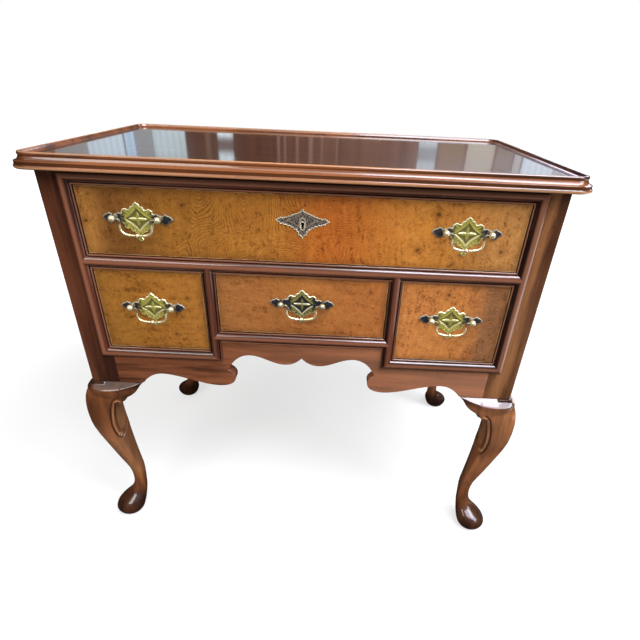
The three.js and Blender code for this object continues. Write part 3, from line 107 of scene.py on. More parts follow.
class Tree:
    """The node tree of a material or a world, written as calls that give outputs back."""

    def __init__(self, owner):
        owner.use_nodes = True
        self.owner = owner
        self.tree = owner.node_tree
        self.tree.nodes.clear()

    def node(self, kind, inputs, **settings):
        new = self.tree.nodes.new(f"ShaderNode{kind}")
        for key, value in settings.items():
            setattr(new, key, value)
        for key, value in inputs.items():
            socket = new.inputs[key]
            if isinstance(value, Socket):
                self.tree.links.new(value.output, socket)
            elif isinstance(value, tuple) and socket.type == "RGBA":
                socket.default_value = (*value, 1)
            else:
                socket.default_value = value
        return new

    def out(self, kind, inputs, key=0, **settings):
        return Socket(self, self.node(kind, inputs, **settings).outputs[key])

    def math(self, operation, *values, key=0, **settings):
        """Arithmetic on numbers, or on vectors where any value is one."""
        vector = any(isinstance(value, tuple) or getattr(value, "vector", 0) for value in values)
        kind = "VectorMath" if vector else "Math"
        return self.out(kind, dict(enumerate(values)), key, operation=operation, **settings)

    def place(self):
        return self.out("TexCoord", {}, "Object")

    def axes(self, vector):
        return [Socket(self, output) for output in self.node("SeparateXYZ", {0: vector}).outputs]

    def noise(self, vector, scale, detail=2, roughness=0.5, key="Fac"):
        inputs = {"Vector": vector, "Scale": scale, "Detail": detail, "Roughness": roughness}
        return self.out("TexNoise", inputs, key)

    def shifted(self, vector, scale, amount, middle=0.5):
        """The vector, moved by a cloud whose value at rest is middle."""
        cloud = self.noise(vector, scale, key="Color") - (middle, middle, middle)
        return vector + cloud * (amount, amount, amount)

    def mix(self, factor, a, b, blend="MIX"):
        inputs = {"Factor": factor, "A": a, "B": b}
        return self.out("Mix", inputs, "Result", data_type="RGBA", blend_type=blend)

    def attribute(self, name):
        return self.out("Attribute", {}, "Fac", attribute_name=name)

    def bump(self, height, distance, strength):
        return self.out("Bump", {"Height": height, "Distance": distance, "Strength": strength})

    def seen(self):
        """1 for what the camera sees, straight, mirrored or through glass, and 0 for light."""
        path = self.node("LightPath", {}).outputs
        camera, glossy, through = (
            Socket(self, path[f"Is {kind} Ray"]) for kind in ("Camera", "Glossy", "Transmission")
        )
        return self.math("MAXIMUM", self.math("MAXIMUM", camera, glossy), through)

    def shade(self, inputs, shader="BsdfPrincipled", target="OutputMaterial"):
        self.node(target, {"Surface": self.out(shader, inputs)})
        return self.owner


def srgb(red, green, blue):
    """A colour written as 0 to 255, as linear light."""
    shares = (value / 255 for value in (red, green, blue))
    return tuple(
        share / 12.92 if share <= 0.04045 else ((share + 0.055) / 1.055) ** 2.4
        for share in shares
    )


# Woods. A piece may carry two values at each of its points. The first, recess, darkens the wood:
# it paints shade under the top's lip, on the legs' flanks, beside the mouldings and in their
# creases, and it darkens the tray and the feet. The second lightens it: wear, and painted
# highlights on crests, edges and the parts that face the light.

GRAIN_STRETCH = {"x": (0.07, 1, 1), "y": (1, 0.07, 1), "z": (1, 1, 0.07)}
PAINTED_SHADE_COLOUR = srgb(26, 13, 10)


def grain_place(tree, place, grain, sway_scale, sway):
    """Places drawn out along the grain, which sways a little."""
    cloud = tree.noise(place, sway_scale, key="Color")
    return place * GRAIN_STRETCH[grain] + cloud * (sway, sway, sway)


def walnut(name, dark, light, grain, seed, coat=0.6, worn_and_lit=(196, 128, 84)):
    """Straight-grained wood: broad bands, fine lines and short pores along the grain."""
    tree = Tree(bpy.data.materials.new(name))
    place = tree.place() + (seed, seed * 0.7, seed * 1.3)
    swayed = grain_place(tree, place, grain, 4, 0.02)
    bands = tree.noise(swayed, 42, 3, 0.55)
    lines = tree.noise(swayed, 260, 3, 0.6)
    pores = tree.noise(swayed, 900)
    patches = tree.noise(place, 7)
    tone = bands.ramp(0.3, 0.72) * 0.55 + lines * 0.4 + patches * 0.25
    tone = tone - pores.ramp(0.6, 0.75) * 0.18
    colour = tree.mix(tone.ramp(0.15, 0.95), srgb(*dark), srgb(*light))
    # Painted shade from the recess value; wear and painted highlights from the second value
    colour = tree.mix(tree.attribute("recess") * 0.9, colour, PAINTED_SHADE_COLOUR)
    return tree.shade({
        "Base Color": tree.mix(tree.attribute("wear_and_highlight") * 0.55, colour, srgb(*worn_and_lit)),
        "Roughness": patches.ramp(0.2, 0.8, 0.26, 0.38),
        "Specular IOR Level": 0.2,
        "Coat Weight": coat,
        "Coat Roughness": 0.07,
        "Coat IOR": 1.45,
        "Normal": tree.bump(lines * 0.5 + pores * 0.5, 0.08 * MM, 0.5),
    })


def plain_board(name, dark, light, grain, ring_scale, seed):
    """Unpolished oak or pine: growth rings cut across, fine pores along the grain, and stains."""
    tree = Tree(bpy.data.materials.new(name))
    place = tree.place() + (seed, seed, seed)
    swayed = grain_place(tree, place, grain, 3, 0.05)
    rings = tree.noise(swayed, ring_scale, 4, 0.6)
    fine = tree.noise(swayed, 500, 2, 0.6)
    stains = tree.noise(place, 5, 4, 0.6).ramp(0.5, 0.75, 0, 0.55)
    colour = tree.mix(rings.ramp(0.35, 0.65) * 0.5 + fine * 0.5, srgb(*dark), srgb(*light))
    return tree.shade({
        "Base Color": tree.mix(stains, colour, srgb(84, 58, 38)),
        "Roughness": fine.ramp(0.2, 0.8, 0.55, 0.75),
        "Specular IOR Level": 0.3,
        "Normal": tree.bump(rings + fine, 0.15 * MM, 0.6),
    })


KNOT_SIZE = 5 * MM
LINE_SPACING = 3.8 * MM


def burr_walnut(name, tones, seed, knots, eyes, figured, contours, streak="z"):
    """Burr veneer on a drawer's front, and plain walnut on its other faces.
    Places on the front are shares of its width and height: tones are (share across, colour),
    knots (across, up, size), eyes, which the contour lines ring, (across, up, squeeze, lead in
    metres), and figured the (middle, half width) of the stretch where the lines are strong."""
    tree = Tree(bpy.data.materials.new(f"burr_walnut_{name}"))
    low, high = OPENINGS[name]
    place = tree.place()
    x, y, z = tree.axes(place)
    across = tree.math("DIVIDE", x - low.x, high.x - low.x)
    flat = tree.out("CombineXYZ", {0: x, 1: seed, 2: z})

    def on_front(share_x, share_z):
        return (low.x + share_x * (high.x - low.x), seed, low.z + share_z * (high.z - low.z))

    broad = tree.shifted(flat, 8, 0.05)
    fine = tree.shifted(broad, 55, 0.009)

    # Colour along the front, with smoky and glowing clouds. The tones are the veneer's own colour,
    # partly with painted light as it falls across the front.
    base = srgb(*tones[0][1])
    for (before, _colour), (after, colour) in zip(tones, tones[1:]):
        base = tree.mix(across.ramp(before, after), base, srgb(*colour))
    smoke = tree.noise(broad, 10, 3).ramp(0.45, 0.75)
    glow = tree.noise(broad, 16, 3, 0.6).ramp(0.48, 0.75)

    # Contour lines, as on a map, which ring the eyes
    reach = 1.0
    for share_x, share_z, squeeze, lead in eyes:
        away = (fine - on_front(share_x, share_z)) * (squeeze, 0, 1 / squeeze)
        reach = tree.math("SMOOTH_MIN", reach, away.length() + lead, 0.02)
    phase = reach * (math.tau / LINE_SPACING) + tree.noise(broad, 24) * 12
    middle, half = figured
    stretch = tree.math("ABSOLUTE", across - middle).ramp(half * 0.6, half * 1.3, 1, 0.2)
    broken = tree.noise(fine, 22).ramp(0.35, 0.6, 0.3, 1)
    lines = tree.math("SINE", phase).ramp(0, 1) * stretch * (broken * contours)

    # Mottling, fine streaks and pepper-like pores
    mottle = tree.noise(fine, 95, 4, 0.7)
    streaks = tree.noise(fine * GRAIN_STRETCH[streak], 170, 3, 0.6)
    speckle = tree.noise(fine, 330, 3, 0.65)
    pores = tree.noise(flat, 700, 2, 0.6).ramp(0.6, 0.72)
    tone = (mottle - 0.5) * 0.85 + 0.48 + (streaks - 0.5) * 0.75 + (speckle - 0.5) * 1.3
    tone = tone + glow * 0.14 - smoke * 0.16 - pores * 0.12
    dark = tree.mix(1, base, (0.32, 0.25, 0.22), "MULTIPLY")
    light = tree.mix(1, base, (1.3, 1.42, 1.35), "MULTIPLY")
    colour = tree.mix(tone.ramp(0, 0.5), dark, base)
    colour = tree.mix(tone.ramp(0.5, 0.95), colour, light)
    lined = tree.mix(1, colour, (0.42, 0.33, 0.3), "MULTIPLY")
    colour = tree.mix(lines * 0.7, colour, lined)

    # Knots: a dark eye with a ring round it
    ragged = tree.noise(flat, 260, 3) * (4 * MM)
    for share_x, share_z, size in knots:
        reach = (flat - on_front(share_x, share_z)).length() + ragged
        scale = size * KNOT_SIZE
        colour = tree.mix(reach.ramp(scale * 1.3, scale * 0.6, 0, 0.8), colour, srgb(50, 26, 14))
        colour = tree.mix(reach.ramp(scale * 3, scale * 1.2, 0, 0.3), colour, srgb(92, 50, 20))

    # The veneer darkens towards its edges, and its very edge is painted pale, as wear and a painted
    # highlight
    edge = tree.math("MINIMUM", x - low.x, high.x - x)
    edge = tree.math("MINIMUM", edge, tree.math("MINIMUM", z - low.z, high.z - z))
    soft = edge - tree.noise(flat, 24, 4, 0.6) * (16 * MM)
    colour = tree.mix(soft.ramp(5 * MM, -8 * MM, 0, 0.35), colour, srgb(84, 48, 20))
    patchy = tree.noise(flat, 30, 3).ramp(0.4, 0.6, 0.1, 0.75)
    colour = tree.mix(edge.ramp(1.1 * MM, 0.4 * MM) * patchy, colour, srgb(206, 168, 116))

    # Only the front is veneered
    back = y.ramp(low.y + 0.6 * MM, low.y + 1.2 * MM)
    core = tree.noise(place * GRAIN_STRETCH["x"], 80, 3)
    colour = tree.mix(back, colour, tree.mix(core, srgb(96, 56, 30), srgb(150, 98, 58)))
    return tree.shade({
        "Base Color": colour,
        "Roughness": mottle.ramp(0.3, 0.8, 0.24, 0.38) + back * 0.3,
        "Specular IOR Level": 0.25,
        "Coat Weight": 0.3,
        "Coat Roughness": 0.1,
        "Coat IOR": 1.45,
        "Normal": tree.bump(mottle * 0.6 + speckle * 0.4, 0.08 * MM, 0.6),
    })


BRIGHT_BRASS = (0.93, 0.88, 0.62)


def brass(name, clean, tarnish, roughness, metal=0.45):
    """Lacquered brass. A point's tarnish and recess values darken it, and its value for wear and
    painted highlights makes it bright."""
    tree = Tree(bpy.data.materials.new(name))
    place = tree.place()
    spots = tree.noise(place, 300, 4, 0.65)
    amount = tree.attribute("tarnish") + spots.ramp(0.52, 0.72) * 0.35
    amount = tree.math("ADD", amount, tree.attribute("recess") * 0.8, use_clamp=True)
    cloud = tree.noise(place, 90, 3).ramp(0.3, 0.7, 0, 0.35)
    colour = tree.mix(cloud, srgb(*clean), srgb(150, 132, 60))
    colour = tree.mix(amount, colour, srgb(*tarnish))
    return tree.shade({
        "Base Color": tree.mix(tree.attribute("wear_and_highlight"), colour, BRIGHT_BRASS),
        "Metallic": amount.ramp(0.2, 1, metal, metal * 0.6),
        "Roughness": amount * 0.28 + roughness,
        "Normal": tree.bump(spots, 0.1 * MM, 0.5),
    })


def worn_steel(name):
    tree = Tree(bpy.data.materials.new(name))
    place = tree.place()
    brushed = tree.noise(place * (0.1, 1, 1), 600, 3)
    rust = tree.noise(place, 120, 5, 0.7)
    return tree.shade({
        "Base Color": tree.mix(rust.ramp(0.55, 0.7), srgb(120, 114, 106), srgb(96, 58, 34)),
        "Metallic": rust.ramp(0.55, 0.7, 0.9, 0.2),
        "Roughness": brushed.ramp(0.3, 0.7, 0.3, 0.5),
        "Normal": tree.bump(brushed, 0.05 * MM, 0.6),
    })


TOP_WOOD = walnut("top_walnut", (52, 25, 14), (128, 74, 38), "x", 3.1, 1, (214, 160, 116))
CASE_WOOD = walnut("case_walnut", (40, 18, 11), (136, 80, 50), "x", 1.7, worn_and_lit=(224, 156, 118))
SIDE_WOOD = walnut("side_walnut", (84, 44, 24), (146, 90, 52), "z", 5.2)
BEAD_COLOURS = ((34, 15, 11), (92, 46, 30))
BEAD_WORN_AND_LIT = (196, 132, 98)
BEAD_WOOD = walnut("moulding_walnut", *BEAD_COLOURS, "x", 2.3, 1, BEAD_WORN_AND_LIT)
BEAD_WOOD_UPRIGHT = walnut("upright_moulding_walnut", *BEAD_COLOURS, "z", 4.3, 1, BEAD_WORN_AND_LIT)
# One walnut for the corner posts, painted darker on the left post, as painted shade, and lighter on
# the right one, as painted light
POST_WOODS_LIT_AND_SHADED = {
    "left": walnut("shaded_left_post_walnut", (44, 21, 14), (98, 54, 34), "z", 6.1),
    "right": walnut("lit_right_post_walnut", (66, 37, 22), (144, 95, 58), "z", 8.3),
}
LEG_WOOD = walnut("leg_walnut", (68, 36, 21), (158, 94, 52), "z", 7.7, 1, (206, 150, 104))
OAK = plain_board("drawer_oak", (128, 88, 52), (182, 140, 92), "y", 30, 0.4)
PINE_COLOURS = ((118, 84, 52), (168, 130, 88))
PINE = plain_board("board_pine", *PINE_COLOURS, "x", 45, 0)
PINE_DEEP = plain_board("board_pine_deep", *PINE_COLOURS, "y", 45, 2)
PLATE_BRASS = brass("aged_brass", (196, 188, 88), (30, 28, 34), 0.3)
BAIL_BRASS = brass("bright_brass", (238, 226, 184), (34, 28, 26), 0.2, 0.6)
DULL_BRASS = brass("dull_brass", (150, 126, 70), (52, 42, 30), 0.45, 0.9)
ESCUTCHEON_BRASS = brass("dark_brass", (176, 160, 140), (58, 44, 46), 0.34)
STEEL = worn_steel("lock_steel")


# Meshes

def set_values(mesh, name, numbers):
    layer = mesh.attributes.get(name) or mesh.attributes.new(name, "FLOAT", "POINT")
    layer.data.foreach_set("value", np.asarray(numbers, np.float32))


def mesh_array(mesh, key):
    """The mesh's points or normals as rows of an array."""
    flat = np.zeros(len(mesh.vertices) * 3)
    mesh.vertices.foreach_get(key, flat)
    return flat.reshape(-1, 3)


def build_mesh(name, points, faces, values=None):
    """values: {attribute name: a number for each point}."""
    mesh = bpy.data.meshes.new(name)
    mesh.from_pydata([tuple(point) for point in points], [], faces)
    for key, numbers in (values or {}).items():
        set_values(mesh, key, numbers)
    mesh.validate()
    mesh.update()
    return mesh


MERGE_GAP = 0.002 * MM


def outward(mesh):
    work = bmesh.new()
    work.from_mesh(mesh)
    bmesh.ops.remove_doubles(work, verts=work.verts, dist=MERGE_GAP)
    bmesh.ops.recalc_face_normals(work, faces=work.faces)
    work.to_mesh(mesh)
    work.free()


def joined_mesh(name, *meshes):
    """One mesh from several, with their material numbers and their point values."""
    work = bmesh.new()
    for mesh in meshes:
        work.from_mesh(mesh)
    result = bpy.data.meshes.new(name)
    work.to_mesh(result)
    work.free()
    return result


def add_object(name, data):
    made = bpy.data.objects.new(name, data)
    bpy.context.scene.collection.objects.link(made)
    return made


def add_piece(name, mesh, materials, body, replaced, sharp=35):
    """Puts a finished mesh into the scene, riding on a body and standing for a CAD node."""
    outward(mesh)
    mesh.shade_smooth()
    mesh.set_sharp_from_angle(angle=math.radians(sharp))
    for material in materials:
        mesh.materials.append(material)
    piece = add_object(name, mesh)
    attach(piece, body)
    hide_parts(*replaced)


class Shell:
    """Points, faces and point values of a piece that is built up from several parts."""

    def __init__(self):
        self.points = []
        self.faces = []
        self.recess = []
        self.wear_and_highlight = []
        self.materials = []

    def add(self, points, faces, recess=None, wear_and_highlight=None, material=0):
        start = len(self.points)
        self.points.extend(Vector(point) for point in points)
        self.faces.extend([start + index for index in face] for face in faces)
        self.recess.extend(recess or [0.0] * len(points))
        self.wear_and_highlight.extend(wear_and_highlight or [0.0] * len(points))
        self.materials.extend([material] * len(faces))

    def loft(self, rings, recess=None, wear_and_highlight=None, material=0, caps=None):
        """Skins rings of points and closes both ends, by the faces in caps where it is given."""
        count = len(rings[0])
        last = (len(rings) - 1) * count
        faces = []
        for start in range(0, last, count):
            above = start + count
            for index in range(count):
                after = (index + 1) % count
                faces.append([start + index, start + after, above + after, above + index])
        for start in (0, last):
            faces.extend([start + index for index in cap] for cap in caps or [range(count)])
        points = [point for ring in rings for point in ring]
        self.add(points, faces, recess, wear_and_highlight, material)

    def turn(self, profile, sides, x, z=0):
        """Turns a profile of (radius, y) about a line through (x, z) that runs front to back."""
        turns = [side / sides * math.tau for side in range(sides)]
        self.loft([
            [(x + math.cos(turn) * radius, y, z + math.sin(turn) * radius) for turn in turns]
            for radius, y in profile
        ])

    def box(self, low, high, ease=0.5 * MM, material=0):
        """A board with eased edges."""
        rings = []
        levels = [(low[2], ease), (low[2] + ease, 0), (high[2] - ease, 0), (high[2], ease)]
        for level, inset in levels:
            x0, x1 = low[0] + inset, high[0] - inset
            y0, y1 = low[1] + inset, high[1] - inset
            ring = [
                (x0 + ease, y0), (x1 - ease, y0), (x1, y0 + ease), (x1, y1 - ease),
                (x1 - ease, y1), (x0 + ease, y1), (x0, y1 - ease), (x0, y0 + ease),
            ]
            rings.append([(x, y, level) for x, y in ring])
        self.loft(rings, material=material)

    def pocketed_box(self, low, high, hole_low, hole_high):
        """A board with a square-cornered pocket cut up into its underside."""
        points = []
        for start, end, level in (
            (low, high, low[2]), (low, high, high[2]),
            (hole_low, hole_high, low[2]), (hole_low, hole_high, hole_high[2]),
        ):
            corners = [(start, start), (end, start), (end, end), (start, end)]
            points.extend((x[0], y[1], level) for x, y in corners)
        faces = [[4, 5, 6, 7], [15, 14, 13, 12]]
        for index in range(4):
            after = (index + 1) % 4
            faces.append([index, after, after + 4, index + 4])
            faces.append([after, index, index + 8, after + 8])
            faces.append([after + 8, index + 8, index + 12, after + 12])
        self.add(points, faces)

    def mesh(self, name):
        values = {"recess": self.recess, "wear_and_highlight": self.wear_and_highlight}
        mesh = build_mesh(name, self.points, self.faces, values)
        mesh.polygons.foreach_set("material_index", self.materials)
        return mesh


def smooth_share(value, low, high):
    share = np.clip((value - low) / (high - low), 0, 1)
    return share * share * (3 - 2 * share)


def ridge(value, middle, width):
    """A rounded ridge, 1 at the middle."""
    return np.exp(-(((value - middle) / width) ** 2))


def catmull(points, steps):
    """A smooth curve through points, as tuples of any length."""
    rows = [np.array(point, float) for point in points]
    padded = [2 * rows[0] - rows[1], *rows, 2 * rows[-1] - rows[-2]]
    curve = []
    for index in range(len(rows) - 1):
        a, b, c, d = padded[index:index + 4]
        for step in range(steps):
            t = step / steps
            curve.append(0.5 * (
                2 * b + (c - a) * t + (2 * a - 5 * b + 4 * c - d) * t ** 2
                + (3 * b - a - 3 * c + d) * t ** 3
            ))
    curve.append(rows[-1])
    return curve


def distance_to_path(places, path):
    """The distance from each (a, b) place to a polyline."""
    nearest = np.full(len(places), 1e9)
    for start, end in zip(path, path[1:]):
        start, end = np.asarray(start, float), np.asarray(end, float)
        along = end - start
        share = np.clip((places - start) @ along / (along @ along), 0, 1)
        gap = places - start - share[:, None] * along
        nearest = np.minimum(nearest, np.hypot(gap[:, 0], gap[:, 1]))
    return nearest


# Mouldings. A profile is a list of (across, height, recess, lightening), from the drawer's side.
# The recess value paints shade in the creases and at the foot of the half-round, and the
# lightening is wear and painted highlights on the arrises and the crest.

BEAD_HEIGHT = 7 * MM
BEAD_WIDTH = 20.5 * MM
FILLET_WIDTH = 2.4 * MM
FILLET_HEIGHT = 2.6 * MM
QUIRK_WIDTH = 1 * MM
QUIRK_HEIGHT = 1.2 * MM
ARRIS = 0.35 * MM
BEAD_STEPS = 22
STATION_GAP = 30 * MM
BEAD_START = FILLET_WIDTH + QUIRK_WIDTH
# Painted shade reaches this share of the half-round's height, and wear with a painted highlight
# starts at this one.
BEAD_SHADE_TOP = 0.45
BEAD_WEAR_AND_HIGHLIGHT_START = 0.86
# The flat strip at a moulding's edge, and the quirk beside the half-round: painted shade at the
# strip's foot and in the quirk, and wear with painted highlights on the strip's arrises
FILLET = [
    (0, 0, 0.9, 0),
    (0, FILLET_HEIGHT - ARRIS, 0.2, 0),
    (ARRIS, FILLET_HEIGHT, 0, 0.8),
    (FILLET_WIDTH - ARRIS, FILLET_HEIGHT, 0.1, 0.5),
    (FILLET_WIDTH, FILLET_HEIGHT - ARRIS, 0.5, 0),
    (BEAD_START, QUIRK_HEIGHT, 1, 0),
]


def bead_profile(width, both_sides):
    profile = list(FILLET)
    end = width - BEAD_START if both_sides else width
    for step in range(1, BEAD_STEPS):
        angle = math.pi * step / BEAD_STEPS
        across = (BEAD_START + end) / 2 - math.cos(angle) * (end - BEAD_START) / 2
        height = math.sin(angle) * BEAD_HEIGHT
        if height < QUIRK_HEIGHT * 1.02:
            continue
        low = 1 - min(1, (height - QUIRK_HEIGHT) / (BEAD_HEIGHT * BEAD_SHADE_TOP))
        profile.append((across, height, low, max(0, math.sin(angle) - BEAD_WEAR_AND_HIGHLIGHT_START) * 4))
    if both_sides:
        profile.extend((width - across, *rest) for across, *rest in reversed(FILLET))
    else:
        profile.extend([(width, QUIRK_HEIGHT * 0.6, 1, 0), (width, 0, 1, 0)])
    return profile


def split_at_middle(profile, width):
    """Gives the profile a point exactly at its middle, and that point's index."""
    for index, (across, *_rest) in enumerate(profile):
        if abs(across - width / 2) < 1e-7:
            return profile, index
        if across > width / 2:
            before, after = profile[index - 1], profile[index]
            share = (width / 2 - before[0]) / (after[0] - before[0])
            middle = tuple(a + (b - a) * share for a, b in zip(before, after))
            return profile[:index] + [(width / 2, *middle[1:])] + profile[index:], index
    raise ValueError("the profile stops before its middle")


def on_case(edge, spread=1, side=1, upright=False):
    """Where a moulding on the case's face puts its points: edge is the place of its drawer side,
    and spread the way it widens from there."""
    def place(along, across, height):
        x, z = along, edge + spread * across
        if upright:
            x, z = z, x
        return (side * x, FRONT_Y - SEAM - height, z)
    return place


def mitre(value, slope):
    """An end that runs out at 45 degrees: slope 1 lengthens the strip away from its edge."""
    return lambda across: value + slope * across


def arrow(value, width, direction):
    """A pointed end: its tip is half a width past the value."""
    return lambda across: value + direction * (width / 2 - abs(across - width / 2))


def add_strip(shell, profile, width, place, start, end, material=0):
    """Runs a profile along a line. place(along, across, height) gives a point, and start and
    end give how far along the strip begins and ends, for a distance across."""
    profile, middle = split_at_middle(profile, width)
    stations = max(1, round((end(width / 2) - start(width / 2)) / STATION_GAP))
    section = [*profile, (width / 2, 0, 1, 0)]
    rings = []
    for station in range(stations + 1):
        share = station / stations
        rings.append([
            place(start(across) + (end(across) - start(across)) * share, across, height)
            for across, height, _recess, _rubbed in section
        ])
    recess, wear_and_highlight = ([row[part] for row in section] * len(rings) for part in (2, 3))
    foot = len(profile)
    caps = [[*range(middle + 1), foot], [*range(middle, foot), foot]]
    shell.loft(rings, recess, wear_and_highlight, material, caps)


def add_moulded(name, node, wood, low, high, profile, strip, hole=None):
    """A rail or an upright from low to high, with its moulding. strip is (width, place, start,
    end), as for add_strip."""
    shell = Shell()
    if hole:
        shell.pocketed_box(low, high, *hole)
    else:
        shell.box(low, high)
    add_strip(shell, profile, *strip)
    add_piece(name, shell.mesh(name), [wood], "case", [node])


BOLT_TRAVEL = 8 * MM
BOLT_ROOM = Vector((0.6, 0.6, 0.6)) * MM


def make_rails():
    """The front rails, each with its moulding. The top one has the bolt's mortise."""
    single = bead_profile(BEAD_WIDTH, False)
    # On the top rail the upper half of the moulding is painted with the lip's shadow, and a painted
    # highlight runs along its middle.
    shaded = []
    for across, height, recess, wear_and_highlight in single:
        share = across / BEAD_WIDTH
        shade = min(1, (share - 0.5) * 8)
        shaded.append((
            across, height, max(recess, shade), max(wear_and_highlight, 0.8 * ridge(share, 0.47, 0.06))
        ))
    bolt_low, bolt_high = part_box("lock_bolt")
    add_moulded(
        "front_rail_top", "rail_top", BEAD_WOOD, (-INNER_X + SEAM, FRONT_Y, TOP_OPENING_TOP),
        (INNER_X - SEAM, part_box("rail_top")[1].y, CASE_TOP), shaded,
        (BEAD_WIDTH, on_case(TOP_OPENING_TOP), mitre(-INNER_X, -1), mitre(INNER_X, 1)),
        (bolt_low - BOLT_ROOM, bolt_high + BOLT_ROOM + Vector((0, 0, BOLT_TRAVEL))),
    )
    for name, end, low, high in (
        ("middle", INNER_X, MIDDLE_LOW, MIDDLE_HIGH),
        ("low_centre", DIVIDER_IN, APRON_CENTRE_TOP, CENTRE_BOTTOM),
    ):
        width = high - low
        add_moulded(
            f"front_rail_{name}", f"rail_{name}", BEAD_WOOD, (-end + SEAM, FRONT_Y, low),
            (end - SEAM, RAIL_BACK_Y, high), bead_profile(width, True),
            (width, on_case(low), arrow(-end, width, -1), arrow(end, width, 1)),
        )
    for label, side in SIDES:
        low_x, high_x = sorted((side * (DIVIDER_OUT + SEAM), side * (INNER_X - SEAM)))
        add_moulded(
            f"front_rail_low_{label}", f"rail_low_{label}", BEAD_WOOD,
            (low_x, FRONT_Y, APRON_TOP), (high_x, RAIL_BACK_Y, SIDE_BOTTOM), single,
            (BEAD_WIDTH, on_case(SIDE_BOTTOM, -1, side), mitre(DIVIDER_OUT, -1), mitre(INNER_X, 1)),
        )


def make_dividers():
    """The uprights between the short drawers. The top of each moulding is an arrow that runs
    into the middle rail's, and its foot is mitred to the low side rail's."""
    for label, side in SIDES:
        # The left flank of each is painted dark, as painted shade, and the lightening of its whole
        # moulding is cut to a third.
        profile = []
        for across, height, recess, wear_and_highlight in bead_profile(DIVIDER_WIDTH, True):
            share = across / DIVIDER_WIDTH if side > 0 else 1 - across / DIVIDER_WIDTH
            profile.append((across, height, max(recess, 0.9 * (share < 0.28)), wear_and_highlight / 3))
        low_x, high_x = sorted((side * (DIVIDER_IN + SEAM), side * (DIVIDER_OUT - SEAM)))
        foot = mitre(SIDE_BOTTOM - DIVIDER_WIDTH, 1)
        head = arrow(MIDDLE_LOW, DIVIDER_WIDTH, 1)
        add_moulded(
            f"front_divider_{label}", f"divider_{label}", BEAD_WOOD_UPRIGHT,
            (low_x, FRONT_Y, APRON_TOP), (high_x, RAIL_BACK_Y, MIDDLE_LOW - SEAM), profile,
            (DIVIDER_WIDTH, on_case(DIVIDER_IN, 1, side, True), foot, head),
        )


# The apron: the same outline as the solid's, with more steps on its curves.
# [bays out from the middle, share of the rise], two control points and an end in each row.

APRON_START_SHARES = (1.777, 0)
APRON_CURVE_SHARES = [
    (1.734, 0.17, 1.667, 0.31, 1.585, 0.31),
    (1.429, 0.31, 1.22, 0.02, 1.061, 0.02),
    (0.946, 0.02, 0.859, 0.116, 0.859, 0.305),
    (0.859, 0.42, 0.902, 0.48, 0.941, 0.538),
    (0.902, 0.756, 0.799, 1, 0.662, 1),
    (0.494, 1, 0.379, 0.763, 0.218, 0.763),
    (0.125, 0.763, 0.058, 0.843, 0, 0.971),
]
APRON_ARCH_WALL = 26.2 * MM
APRON_STEPS = 14
APRON_EASE = 0.9 * MM


def bezier(a, b, c, d, share):
    rest = 1 - share
    return a * rest ** 3 + b * 3 * rest ** 2 * share + c * 3 * rest * share ** 2 + d * share ** 3


def apron_outline():
    """The lower edge from the right post to the middle, then mirrored to the left post."""
    rise = APRON_CENTRE_TOP - APRON_ARCH_WALL - LEG_HEIGHT

    def place(bays, up):
        x = min(bays, 1) * DIVIDER_IN + max(bays - 1, 0) * (INNER_X - DIVIDER_IN)
        return Vector((x, LEG_HEIGHT + up * rise))

    right = [place(*APRON_START_SHARES)]
    for row in APRON_CURVE_SHARES:
        controls = [right[-1], *(place(*row[part:part + 2]) for part in (0, 2, 4))]
        right.extend(bezier(*controls, step / APRON_STEPS) for step in range(1, APRON_STEPS + 1))
    return right + [Vector((-point.x, point.y)) for point in reversed(right[:-1])]


def make_apron():
    low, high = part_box("apron_front")
    end = INNER_X - SEAM
    step = DIVIDER_IN - SEAM
    foot = LEG_HEIGHT + SEAM
    side_top = APRON_TOP - SEAM
    arch_top = APRON_CENTRE_TOP - SEAM
    edge = apron_outline()
    frame_corners = [
        (-end, foot), (-end, side_top), (-step, side_top), (-step, arch_top),
        (step, arch_top), (step, side_top), (end, side_top),
    ]
    outline = [Vector((end, foot)), *edge, *(Vector(corner) for corner in frame_corners)]
    rings = []
    recess = []
    wear_and_highlight = []
    for y, inset in ((low.y, APRON_EASE), (low.y + APRON_EASE, 0), (high.y, 0)):
        ring = []
        for index, corner in enumerate(outline):
            shaped = 0 < index <= len(edge)
            shift = Vector((0, 0))
            if shaped and inset:
                along = (outline[index + 1] - outline[index - 1]).normalized()
                shift = Vector((along.y, -along.x)) * inset
            ring.append((corner.x + shift.x, y, corner.y + shift.y))
            # The back of the shaped lower edge is painted dark, as painted shade under it, and the
            # apron is painted lighter from left to right, as painted light.
            recess.append(0.75 if shaped and y == high.y else 0.0)
            wear_and_highlight.append(0.2 + 0.4 * corner.x / end)
        rings.append(ring)
    shell = Shell()
    shell.loft(rings, recess, wear_and_highlight)
    add_piece(
        "shaped_apron", shell.mesh("apron"), [CASE_WOOD], "case", ["apron_front"]
    )


# The top: one board with a moulded lip and rounded corners. Each run of the lip's section goes
# on from the last one's end, as (share inwards, share up), from the underside to the tray.

TOP_CORNER_RADIUS = 30 * MM
RIM_WIDTH = 20 * MM
RIM_START = (0.3, 0)
RIM_RUN_SHARES = [
    [(0.06, 0)],
    [(0.01, 0.06), (0, 0.12), (0.02, 0.19), (0.08, 0.23)],
    [(0.08, 0.44)],
    [(0.2, 0.47), (0.34, 0.56), (0.42, 0.7), (0.44, 0.76)],
    [(0.4, 0.82), (0.41, 0.93), (0.5, 1), (0.6, 0.97), (0.64, 0.9)],
    [(0.7, 0.8), (0.8, 0.75), (1, 0.727)],
    [(1.2, 0.727)],
]
RIM_STEPS = 5
TRAY_DARKENING = 0.92
CORNER_STEPS = 14
EDGE_STEPS = 24


